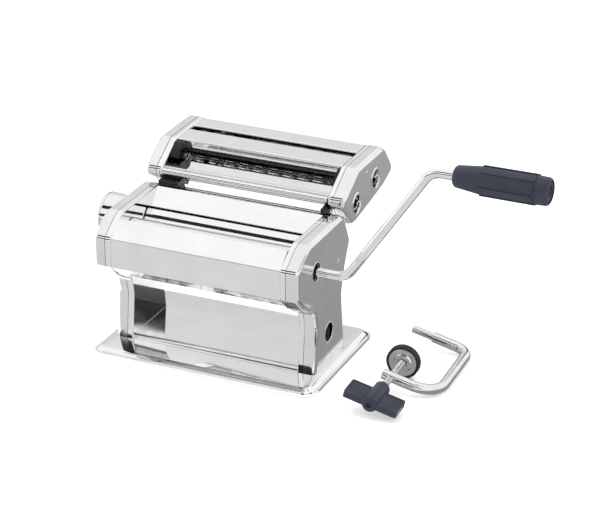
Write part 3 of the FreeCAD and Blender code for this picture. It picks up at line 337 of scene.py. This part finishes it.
def select_only(piece: Piece) -> None:
    """Makes one object the only selected and active one."""
    bpy.ops.object.select_all(action="DESELECT")
    piece.select_set(True)
    bpy.context.view_layer.objects.active = piece


@contextmanager
def editing(piece: Piece, element: str = "FACE") -> Iterator[None]:
    """Opens a piece in edit mode with nothing selected.

    Args:
        piece: The object to edit.
        element: What is selected: VERT, EDGE or FACE.
    """
    select_only(piece)
    bpy.ops.object.mode_set(mode="EDIT")
    bpy.ops.mesh.select_mode(type=element)
    bpy.ops.mesh.select_all(action="DESELECT")
    yield
    bpy.ops.object.mode_set(mode="OBJECT")


def select_faces(piece: Piece, wanted: Callable[[bpy.types.MeshPolygon], bool]) -> None:
    """Selects the faces of a piece in edit mode that pass a test.

    Args:
        piece: The object being edited.
        wanted: The test, on a face in place.
    """
    bpy.ops.object.mode_set(mode="OBJECT")
    for face in piece.data.polygons:
        face.select = wanted(face)
    bpy.ops.object.mode_set(mode="EDIT")


def dress(piece: Piece, finish: Finish) -> None:
    """Gives a piece one finish all over."""
    piece.data.materials.clear()
    piece.data.materials.append(finish.material())


def smooth(piece: Piece, degrees: float = SHEET_ANGLE) -> None:
    """Shades a piece smooth except at edges sharper than the angle, and keeps its flats flat.

    Args:
        piece: The object to shade.
        degrees: The sharpest angle that is smoothed.
    """
    select_only(piece)
    bpy.ops.object.shade_smooth_by_angle(angle=math.radians(degrees))
    weighted = piece.modifiers.new("flats", "WEIGHTED_NORMAL")
    weighted.keep_sharp = True
    bpy.ops.object.modifier_apply(modifier=weighted.name)


def soften(piece: Piece, width: float, degrees: float = ROD_ANGLE) -> None:
    """Rounds a piece's sharp edges a little, so that they catch the light.

    Args:
        piece: The object to round.
        width: The rounding's width in metres.
        degrees: Edges sharper than this are rounded.
    """
    select_only(piece)
    rounding = piece.modifiers.new("edges", "BEVEL")
    rounding.width = width
    rounding.segments = 2
    rounding.limit_method = "ANGLE"
    rounding.angle_limit = math.radians(degrees)
    rounding.use_clamp_overlap = True
    bpy.ops.object.modifier_apply(modifier=rounding.name)


def copy_of(node: str, name: str) -> Piece:
    """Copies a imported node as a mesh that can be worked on, with its loose triangles joined up.

    Args:
        node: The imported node.
        name: The new piece's name.

    Returns:
        The new piece.
    """
    piece = bpy.data.objects.new(name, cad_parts[node].data.copy())
    bpy.context.scene.collection.objects.link(piece)
    with editing(piece, "VERT"):
        bpy.ops.mesh.select_all(action="SELECT")
        bpy.ops.mesh.customdata_custom_splitnormals_clear()
        bpy.ops.mesh.remove_doubles(threshold=MERGE)
    return piece


def join(whole: Piece, addition: Piece) -> None:
    """Joins an addition into a piece.

    Args:
        whole: The piece that stays.
        addition: The selected piece that becomes part of it.
    """
    addition.select_set(True)
    whole.select_set(True)
    bpy.context.view_layer.objects.active = whole
    bpy.ops.object.join()


@dataclass(frozen=True)
class Station:
    """One ring of a turned shape: its place along the axis and its radius."""

    along: float
    radius: float


def turn_start(name: str, first: Station, centre: Pair, segments: int, fill: str) -> Piece:
    """Lays the first ring of a turned shape about an axis that runs along X.

    Args:
        name: The new piece's name.
        first: The ring's station.
        centre: The axis's place in Y and Z.
        segments: Sides round the axis.
        fill: NGON for a closed end, NOTHING for an open one.

    Returns:
        The new piece.
    """
    bpy.ops.object.select_all(action="DESELECT")
    bpy.ops.mesh.primitive_circle_add(
        vertices=segments, radius=first.radius, fill_type=fill, location=(first.along, *centre),
        rotation=(0.0, math.pi / 2, 0.0))
    piece = bpy.context.active_object
    piece.name = name
    bpy.ops.object.transform_apply(location=True, rotation=True, scale=True)
    return piece


def turn_on(extrude: Callable, last: Station, station: Station, centre: Pair) -> None:
    """Takes the selected ring of a turned shape on to its next station.

    Args:
        extrude: The operator that extrudes the ring.
        last: The station that it is at.
        station: The station that it goes to.
        centre: The axis's place in Y and Z.
    """
    extrude(TRANSFORM_OT_translate={"value": (station.along - last.along, 0.0, 0.0)})
    share = station.radius / last.radius
    bpy.ops.transform.resize(
        value=(1.0, share, share), center_override=(station.along, *centre))


def turned_ring(name: str, centre: Pair, stations: list[Station], segments: int = 72) -> Piece:
    """Turns a closed profile about an axis that runs along X.

    Args:
        name: The new piece's name.
        centre: The axis's place in Y and Z.
        stations: The profile, ring by ring; the last ring joins the first.
        segments: Sides round the axis.

    Returns:
        The closed ring.
    """
    ring = turn_start(name, stations[0], centre, segments, "NOTHING")
    with editing(ring, "EDGE"):
        bpy.ops.mesh.select_all(action="SELECT")
        for last, station in zip(stations, stations[1:] + stations[:1]):
            turn_on(bpy.ops.mesh.extrude_edges_move, last, station, centre)
        bpy.ops.mesh.select_all(action="SELECT")
        bpy.ops.mesh.remove_doubles(threshold=MERGE)
        bpy.ops.mesh.normals_make_consistent(inside=False)
    return ring


def turned_rod(name: str, stations: list[Station], segments: int = 48) -> Piece:
    """Turns a solid rod about the X axis.

    Args:
        name: The new piece's name.
        stations: The rod's profile from one end to the other; both ends are closed flat.
        segments: Sides round the axis.

    Returns:
        The closed rod.
    """
    axis = (0.0, 0.0)
    rod = turn_start(name, stations[0], axis, segments, "NGON")
    with editing(rod):
        bpy.ops.mesh.select_all(action="SELECT")
        for last, station in zip(stations, stations[1:]):
            turn_on(bpy.ops.mesh.extrude_region_move, last, station, axis)
        bpy.ops.mesh.select_all(action="SELECT")
        bpy.ops.mesh.normals_make_consistent(inside=False)
    return rod


@dataclass
class SubAssembly:
    """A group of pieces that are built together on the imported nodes."""

    made: list[Piece] = field(default_factory=list, init=False)

    def add(self, piece: Piece, body: str, slot: str, finish: Finish, *nodes: str) -> Piece:
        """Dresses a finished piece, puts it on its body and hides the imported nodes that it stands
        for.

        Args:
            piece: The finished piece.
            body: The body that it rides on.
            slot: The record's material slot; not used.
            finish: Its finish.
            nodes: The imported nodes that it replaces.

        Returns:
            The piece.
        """
        dress(piece, finish)
        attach(piece, body)
        if nodes:
            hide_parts(*nodes)
        self.made.append(piece)
        return piece

    def carry(self, node: str, body: str, slot: str, finish: Finish, edge: float = 0.0) -> Piece:
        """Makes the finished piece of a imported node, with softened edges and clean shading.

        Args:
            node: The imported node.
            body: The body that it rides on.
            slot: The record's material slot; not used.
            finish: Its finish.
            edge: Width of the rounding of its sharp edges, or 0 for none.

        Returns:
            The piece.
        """
        piece = copy_of(node, f"{node}_finished")
        if edge:
            soften(piece, edge)
        smooth(piece)
        return self.add(piece, body, slot, finish, node)

    def dress_node(self, node: str, finish: Finish) -> None:
        """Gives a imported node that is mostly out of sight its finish."""
        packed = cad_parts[node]
        packed.data.materials.clear()
        packed.data.materials.append(finish.material())
        self.made.append(packed)

    def report(self) -> None:
        """Logs each piece of the sub-assembly."""
        for piece in self.made:
            faces = len(piece.data.polygons)
            LOG.info("%s: %s, %d faces", type(self).__name__, piece.name, faces)


# ---------------------------------------------------------------- the machine


@dataclass
class Base(SubAssembly):
    """The pressed base plate with its cross plate, feet and screws."""

    edge: float = 0.25 * MM

    def build(self) -> None:
        """Builds every piece of the base."""
        self.carry("base_plate", "frame", "polished_steel", BASE_SHEET)
        self.carry("cross_plate", "frame", "polished_steel", BASE_SHEET, self.edge)
        self.carry("rubber_feet", "frame", "rubber", RUBBER, self.edge)
        self.carry("base_screws", "frame", "brushed_steel", TURNED_STEEL)


@dataclass
class Sides(SubAssembly):
    """The two side assemblies: inner casings, thick plates, outer covers, rivets and tie rods."""

    edge: float = 0.12 * MM
    face: float = 92.0 * MM
    clamp_hole: Pair = (-8.9 * MM, 34.3 * MM)
    clamp_hole_radius: float = 8.0 * MM
    clamp_rim: Pair = (1.5 * MM, 0.35 * MM)
    crank_hole: Pair = (-35.5 * MM, 100.0 * MM)
    crank_hole_radius: float = 7.7 * MM
    crank_rim: Pair = (1.2 * MM, 0.25 * MM)

    def pressed_rim(self, name: str, centre: Pair, hole: float, size: Pair) -> None:
        """Adds the rolled edge that stiffens a hole in the right cover.

        Args:
            name: The new piece's name.
            centre: The hole's centre in Y and Z.
            hole: The hole's radius.
            size: How far the rim reaches from the hole, and how far it stands off the cover.
        """
        x = self.face
        width, height = size
        rim = turned_ring(name, centre, [
            Station(x - 0.75 * MM, hole - 0.05 * MM),
            Station(x - 0.1 * MM, hole - 0.02 * MM),
            Station(x + 0.8 * height, hole + 0.12 * width),
            Station(x + height, hole + 0.35 * width),
            Station(x + 0.8 * height, hole + 0.62 * width),
            Station(x + 0.3 * height, hole + 0.85 * width),
            Station(x - 0.05 * MM, hole + width),
            Station(x - 0.5 * MM, hole + 0.6 * width)])
        smooth(rim, RIM_ANGLE)
        self.add(rim, "frame", "polished_steel", COVER_SHEET)

    def build(self) -> None:
        """Builds every piece of both sides."""
        for side in ("left", "right"):
            self.carry(f"inner_casing_{side}", "frame", "polished_steel", MIRROR_SHEET)
            self.carry(f"outer_cover_{side}", "frame", "polished_steel", COVER_SHEET)
            self.carry(f"side_plate_{side}", "frame", "brushed_steel", BRUSHED_STEEL, self.edge)
        self.carry("cover_rivets", "frame", "polished_steel", COVER_SHEET)
        self.pressed_rim(
            "clamp_hole_rim", self.clamp_hole, self.clamp_hole_radius, self.clamp_rim)
        self.pressed_rim(
            "crank_hole_rim", self.crank_hole, self.crank_hole_radius, self.crank_rim)
        self.dress_node("tie_rod_nuts", TURNED_STEEL)
        self.dress_node("gear_bracket", BRUSHED_STEEL)
        self.carry("tie_rods", "frame", "polished_steel", CRANK_CHROME)


@dataclass
class Head(SubAssembly):
    """The sheet covers over the rollers and the rollers with their bearings and scrapers."""

    sheet_edge: float = 0.15 * MM

    def build(self) -> None:
        """Builds the covers and the rollers."""
        self.carry("front_cover", "frame", "polished_steel", MIRROR_SHEET, self.sheet_edge)
        self.carry("hopper_cover", "frame", "polished_steel", MIRROR_SHEET, self.sheet_edge)
        self.carry("front_roller", "front_roller", "roller_steel", ROLLER_STEEL)
        self.carry("rear_roller", "rear_roller", "roller_steel", ROLLER_STEEL)
        self.dress_node("front_gear", TURNED_STEEL)
        self.dress_node("rear_gear", TURNED_STEEL)
        self.dress_node("rear_roller_sleeve", BRONZE)
        for node in ("front_roller_bushes", "shaft_bush", "scraper_front", "scraper_rear"):
            self.dress_node(node, NYLON)


@dataclass
class ThicknessControl(SubAssembly):
    """The knob on the left that sets the rollers' gap, with its shaft, spring and pin."""

    edge: float = 0.2 * MM

    def build(self) -> None:
        """Builds the knob and what is in it."""
        self.carry(
            "thickness_knob", "thickness_knob", "polished_steel", COVER_SHEET, self.edge)
        self.carry("knob_cap", "thickness_knob", "knob_insert", DIAL_SATIN, self.edge)
        for node in ("index_pin", "eccentric_shaft", "knob_screw", "knob_spring"):
            self.dress_node(node, TURNED_STEEL)


@dataclass
class Crank(SubAssembly):
    """The bent crank rod and its turning grip."""

    edge: float = 0.35 * MM

    def build(self) -> None:
        """Builds the rod, the grip and the grip's cap."""
        self.carry("crank_rod", "crank", "polished_steel", CRANK_CHROME)
        self.carry("crank_grip", "crank_grip", "slate_plastic", SLATE_PLASTIC, self.edge)
        self.carry("grip_cap", "crank_grip", "cap_plastic", CAP_PLASTIC, self.edge)


@dataclass
class CutterAttachment(SubAssembly):
    """The lift-off attachment with its wide and fine cutters."""

    sheet_edge: float = 0.15 * MM
    plate_edge: float = 0.3 * MM
    face: float = 92.0 * MM
    sockets: tuple[Pair, ...] = ((47.5 * MM, 127.2 * MM), (88.0 * MM, 134.5 * MM))
    hole: float = 7.6 * MM

    def socket_rims(self) -> None:
        """Adds the dished rims round the two sockets in the right cover."""
        x = self.face
        for name, centre in zip(("wide_socket_rim", "fine_socket_rim"), self.sockets):
            rim = turned_ring(name, centre, [
                Station(x - 1.1 * MM, self.hole - 0.1 * MM),
                Station(x - 0.2 * MM, self.hole),
                Station(x + 0.45 * MM, self.hole + 0.5 * MM),
                Station(x + 0.7 * MM, self.hole + 1.2 * MM),
                Station(x + 0.5 * MM, self.hole + 1.9 * MM),
                Station(x + 0.1 * MM, self.hole + 2.5 * MM),
                Station(x - 0.05 * MM, self.hole + 2.9 * MM),
                Station(x - 0.5 * MM, self.hole + 2.0 * MM)])
            smooth(rim, RIM_ANGLE)
            self.add(rim, "cutter", "polished_steel", COVER_SHEET)

    def build(self) -> None:
        """Builds the shell, the cutters and their combs."""
        for side in ("left", "right"):
            self.carry(
                f"cutter_casing_{side}", "cutter", "polished_steel", MIRROR_SHEET, self.plate_edge)
            self.carry(f"cutter_cover_{side}", "cutter", "polished_steel", COVER_SHEET)
        for node in ("cutter_rear_plate", "cutter_middle_cover", "cutter_front_plate"):
            self.carry(node, "cutter", "polished_steel", MIRROR_SHEET, self.sheet_edge)
        self.carry(
            "cutter_front_bar", "cutter", "polished_steel", CRANK_CHROME, self.sheet_edge)
        self.carry("cutter_rivets", "cutter", "polished_steel", COVER_SHEET)
        self.carry(
            "cutter_end_blocks", "cutter", "black_plastic", BLACK_PLASTIC, self.plate_edge)
        self.socket_rims()
        for kind, finish in (("wide", ROLLER_STEEL), ("fine", CUTTER_STEEL)):
            for role in ("drive", "driven"):
                cutter = f"{kind}_{role}"
                self.carry(f"{cutter}_cutter", cutter, "roller_steel", finish)
                self.dress_node(f"{cutter}_gear", TURNED_STEEL)
            self.dress_node(f"{kind}_comb", NYLON)
        self.dress_node("cutter_bushes", NYLON)


@dataclass
class TableClamp(SubAssembly):
    """The loose clamp: bent bar, threaded screw with its wing, and swivelling pad.

    The screw and the wing are built along X, with their origin where the screw crosses the lower
    arm, and then laid on the screw's line, with Y along the clamp's arms.
    """

    back: Vector = field(default_factory=lambda: Vector((0.0437, -0.999, 0.0)).normalized())
    tilt: float = math.radians(14.25460)
    corner: Vector = field(default_factory=lambda: Vector((190.0, 60.4, 4.52)) * MM)
    screw_offset: float = 39.8 * MM
    lower_arm: float = 85.6 * MM
    edge: float = 0.35 * MM
    head_start: float = -30.8 * MM
    head_end: float = -29.6 * MM
    head_radius: float = 4.0 * MM
    neck_end: float = -27.6 * MM
    neck_radius: float = 2.2 * MM
    shank_start: float = -27.0 * MM
    shank_end: float = 26.8 * MM
    root: float = 2.72 * MM
    tooth: float = 0.42 * MM
    tooth_sink: float = 0.04 * MM
    thread_start: float = -26.8 * MM
    thread_steps: int = 20
    pitch: float = 1.5 * MM
    turns: int = 31
    blade_span: Pair = (5.0 * MM, 23.4 * MM)
    blade_reach: Pair = (29.8 * MM, 52.2 * MM)
    blade_thick: float = 5.6 * MM
    blade_corner: float = 1.8 * MM
    panel_border: float = 1.5 * MM
    panel_depth: float = 0.5 * MM

    def on_screw_line(self, piece: Piece) -> None:
        """Lays a piece that was built along X on the screw's line."""
        level = Vector((self.back.y, -self.back.x, 0.0))
        arm = level * math.cos(self.tilt) + Vector((0.0, 0.0, math.sin(self.tilt)))
        across = self.back.cross(arm)
        start = self.corner + arm * self.screw_offset + self.back * self.lower_arm
        turn = Matrix((self.back, arm, across)).transposed().to_4x4()
        piece.matrix_world = Matrix.Translation(start) @ turn
        select_only(piece)
        bpy.ops.object.transform_apply(location=True, rotation=True, scale=True)

    def thread(self) -> Piece:
        """Winds the screw's thread.

        Returns:
            The thread as a closed ridge along X.
        """
        bpy.ops.object.select_all(action="DESELECT")
        bpy.ops.mesh.primitive_circle_add(
            vertices=3, radius=self.tooth,
            location=(self.thread_start, self.root - self.tooth_sink, 0.0))
        ridge = bpy.context.active_object
        bpy.ops.object.transform_apply(location=True, rotation=True, scale=True)
        winding = ridge.modifiers.new("winding", "SCREW")
        winding.axis = "X"
        winding.screw_offset = self.pitch
        winding.iterations = self.turns
        winding.steps = winding.render_steps = self.thread_steps
        winding.use_smooth_shade = False
        bpy.ops.object.modifier_apply(modifier=winding.name)
        with editing(ridge, "VERT"):
            bpy.ops.mesh.select_all(action="SELECT")
            bpy.ops.mesh.remove_doubles(threshold=MERGE)
            bpy.ops.mesh.select_all(action="SELECT")
            bpy.ops.mesh.fill_holes(sides=3)
            bpy.ops.mesh.select_all(action="SELECT")
            bpy.ops.mesh.normals_make_consistent(inside=False)
        return ridge

    def screw(self) -> None:
        """Builds the screw: a turned shank with its swivel head, and the thread round it."""
        shank = turned_rod("clamp_screw_finished", [
            Station(self.head_start, 3.8 * MM),
            Station(-30.6 * MM, self.head_radius),
            Station(self.head_end, self.head_radius),
            Station(self.head_end, self.neck_radius),
            Station(self.neck_end, self.neck_radius),
            Station(self.shank_start, self.root),
            Station(self.shank_end, self.root)])
        join(shank, self.thread())
        smooth(shank, ROD_ANGLE)
        self.on_screw_line(shank)
        self.add(shank, "clamp_screw", "zinc_steel", ZINC_PLATE, "clamp_screw")

    def blade(self, side: int) -> Piece:
        """Shapes one blade of the wing, with a sunk panel in both flats.

        Args:
            side: 1 or -1, the way the blade points along Y.

        Returns:
            The blade.
        """
        near, far = self.blade_span
        low, high = self.blade_reach
        bpy.ops.object.select_all(action="DESELECT")
        bpy.ops.mesh.primitive_cube_add(
            size=1.0, location=((low + high) / 2, side * (near + far) / 2, 0.0),
            scale=(high - low, far - near, self.blade_thick))
        blade = bpy.context.active_object
        bpy.ops.object.transform_apply(location=True, rotation=True, scale=True)
        with editing(blade, "EDGE"):
            bpy.ops.object.mode_set(mode="OBJECT")
            points = blade.data.vertices
            for edge in blade.data.edges:
                first, second = (points[index].co for index in edge.vertices)
                upright = abs(first.z - second.z) > self.blade_thick / 2
                edge.select = upright and abs(first.y) > (near + far) / 2
            bpy.ops.object.mode_set(mode="EDIT")
            bpy.ops.mesh.bevel(offset=self.blade_corner, segments=4, affect="EDGES")
            bpy.ops.mesh.select_mode(type="FACE")
            select_faces(blade, lambda face: abs(face.normal.z) > 0.99)
            bpy.ops.mesh.inset(thickness=self.panel_border, depth=0.0)
            bpy.ops.mesh.inset(thickness=self.panel_depth, depth=-self.panel_depth)
        return blade

    def wing(self) -> None:
        """Builds the wing: two blades on a hub with a dimple in its end."""
        hub = turned_rod("clamp_wing_finished", [
            Station(20.0 * MM, 5.2 * MM),
            Station(20.3 * MM, 5.6 * MM),
            Station(22.0 * MM, 6.6 * MM),
            Station(50.0 * MM, 6.9 * MM),
            Station(52.4 * MM, 6.3 * MM),
            Station(53.2 * MM, 5.0 * MM),
            Station(53.2 * MM, 3.0 * MM),
            Station(52.9 * MM, 2.6 * MM),
            Station(51.6 * MM, 2.4 * MM)])
        for blade in (self.blade(1), self.blade(-1)):
            soften(blade, self.edge, BLADE_ANGLE)
            join(hub, blade)
        smooth(hub, BLADE_ANGLE)
        self.on_screw_line(hub)
        self.add(hub, "clamp_screw", "slate_plastic", SLATE_PLASTIC, "clamp_wing")

    def build(self) -> None:
        """Builds every piece of the clamp."""
        self.carry("clamp_bar", "clamp", "zinc_steel", ZINC_PLATE)
        self.screw()
        self.wing()
        self.carry("clamp_pad_disc", "clamp_pad", "zinc_steel", ZINC_PLATE)
        self.carry("clamp_pad_rubber", "clamp_pad", "rubber", RUBBER)


# ---------------------------------------------------------------- studio


TO_FRONT = (0.0, -1.0, 0.0)
TO_BACK = (0.0, 1.0, 0.0)
UPWARD = (0.0, 0.0, 1.0)


@dataclass(frozen=True)
class Card:
    """A board seen only in reflections: centre, facing, size, and its tones below and above."""

    name: str
    centre: Triple
    facing: Triple
    size: Pair
    low_tone: float
    high_tone: float


@dataclass(frozen=True)
class Lamp:
    """A soft rectangular light: where it hangs, its width and height, and its power in watts."""

    name: str
    place: Triple
    size: Pair
    power: float


@dataclass
class Studio:
    """The pale floor, the soft lights, the reflected boards and the camera."""

    eye: Triple = (0.8409, -1.7535, 0.9693)
    back: Triple = (0.369033, -0.830421, 0.417391)
    lens: float = 153.6
    sensor: float = 36.0
    roll: float = math.radians(0.15)
    room_glow: float = 1.12
    floor_size: float = 12.0
    floor_level: float = -0.2 * MM
    floor_glow: float = 0.3
    floor_tones: Pair = (0.93, 0.91)
    aim: Triple = (0.0, 0.0, 0.08)
    cards: tuple[Card, ...] = (
        Card("back_board", (-0.60, 0.50, 0.33), TO_FRONT, (1.2, 0.62), 0.62, 1.05),
        Card("back_dark_board", (0.16, 0.50, 0.19), TO_FRONT, (0.20, 0.22), 0.25, 0.005),
        Card("front_floor_tone", (-0.30, -1.03, 0.0005), UPWARD, (2.6, 1.92), 0.78, 0.78),
        Card("right_floor_tone", (0.70, 0.60, 0.0005), UPWARD, (1.2, 1.3), 0.62, 0.34),
        Card("front_low_board", (-0.40, -1.50, 0.52), TO_BACK, (3.5, 0.50), 0.02, 0.03),
        Card("front_high_board", (-0.40, -1.50, 2.30), TO_BACK, (3.5, 1.60), 0.03, 0.02),
    )
    lamps: tuple[Lamp, ...] = (
        Lamp("overhead", (-0.3, -0.2, 1.6), (1.6, 1.2), 10.0),
        Lamp("front_left", (-1.3, -1.2, 0.9), (1.0, 1.0), 8.0),
    )

    def floor(self) -> None:
        """Lays the pale floor."""
        bpy.ops.object.select_all(action="DESELECT")
        bpy.ops.mesh.primitive_plane_add(
            size=self.floor_size, location=(0.0, 0.0, self.floor_level))
        plane = bpy.context.active_object
        plane.name = "floor"
        tree = Tree("pale_floor")
        pale, dull = ((tone,) * 3 for tone in self.floor_tones)
        tree.drive("Base Color", tree.blend(tree.noise(3.0), pale, dull))
        tree.shader.inputs["Roughness"].default_value = 0.8
        tree.shader.inputs["Emission Color"].default_value = (1.0, 1.0, 1.0, 1.0)
        tree.shader.inputs["Emission Strength"].default_value = self.floor_glow
        tree.shader.inputs["Specular IOR Level"].default_value = 0.0
        plane.data.materials.append(tree.material)

    def board(self, card: Card) -> None:
        """Stands one reflected board, which lights nothing and casts no shadow.

        Args:
            card: The board.
        """
        bpy.ops.object.select_all(action="DESELECT")
        bpy.ops.mesh.primitive_plane_add(size=1.0, location=card.centre)
        plane = bpy.context.active_object
        plane.name = card.name
        plane.scale = (*card.size, 1.0)
        plane.rotation_euler = Vector(card.facing).to_track_quat("Z", "Y").to_euler()
        tree = Tree(f"{card.name}_tone")
        tree.shader.inputs["Base Color"].default_value = (0.0, 0.0, 0.0, 1.0)
        tree.shader.inputs["Specular IOR Level"].default_value = 0.0
        tree.shader.inputs["Emission Strength"].default_value = 1.0
        height = tree.add("ShaderNodeSeparateXYZ", Vector=tree.place).outputs["Y"]
        rise = tree.between(height, 0.0, 1.0, (-0.5, 0.5))
        tree.drive("Emission Color", tree.blend(rise, (card.low_tone,) * 3, (card.high_tone,) * 3))
        plane.data.materials.append(tree.material)
        plane.visible_camera = False
        plane.visible_diffuse = False
        plane.visible_shadow = False
        plane.visible_transmission = False

    def light(self, lamp: Lamp) -> None:
        """Hangs one soft light that looks at the middle of the machine.

        Args:
            lamp: The light.
        """
        data = bpy.data.lights.new(lamp.name, "AREA")
        data.shape = "RECTANGLE"
        data.size, data.size_y = lamp.size
        data.energy = lamp.power
        look = Vector(self.aim) - Vector(lamp.place)
        hung = bpy.data.objects.new(lamp.name, data)
        hung.location = lamp.place
        hung.rotation_euler = look.to_track_quat("-Z", "Y").to_euler()
        hung.visible_camera = False
        hung.visible_glossy = False
        bpy.context.scene.collection.objects.link(hung)

    def surroundings(self) -> None:
        """Makes the white room round the table."""
        world = bpy.data.worlds.new("white_room")
        world.use_nodes = True
        shade = world.node_tree.nodes["Background"]
        shade.inputs["Color"].default_value = (1.0, 1.0, 1.0, 1.0)
        shade.inputs["Strength"].default_value = self.room_glow
        bpy.context.scene.world = world
        bpy.context.scene.view_settings.view_transform = "Standard"

    def camera(self) -> None:
        """Sets up the camera."""
        back = Vector(self.back).normalized()
        right = Vector((0.0, 0.0, 1.0)).cross(back).normalized()
        up = back.cross(right)
        turn = Matrix((right, up, back)).transposed() @ Matrix.Rotation(self.roll, 3, "Z")
        data = bpy.data.cameras.new("camera")
        data.lens = self.lens
        data.sensor_width = self.sensor
        data.clip_start = 0.05
        data.clip_end = 30.0
        eye = bpy.data.objects.new("camera", data)
        eye.matrix_world = Matrix.Translation(self.eye) @ turn.to_4x4()
        bpy.context.scene.collection.objects.link(eye)
        bpy.context.scene.camera = eye

    def build(self) -> None:
        """Builds the whole studio."""
        self.surroundings()
        self.floor()
        for card in self.cards:
            self.board(card)
        for lamp in self.lamps:
            self.light(lamp)
        self.camera()


def main() -> None:
    """Builds the machine and the studio, and logs each piece of the machine with its face count."""
    logging.basicConfig(level=logging.INFO, format="%(message)s")
    machine = (Base(), Sides(), Head(), ThicknessControl(), Crank(), CutterAttachment(),
               TableClamp())
    for part in machine:
        part.build()
        part.report()
    Studio().build()


if __name__ == "__main__":
    main()
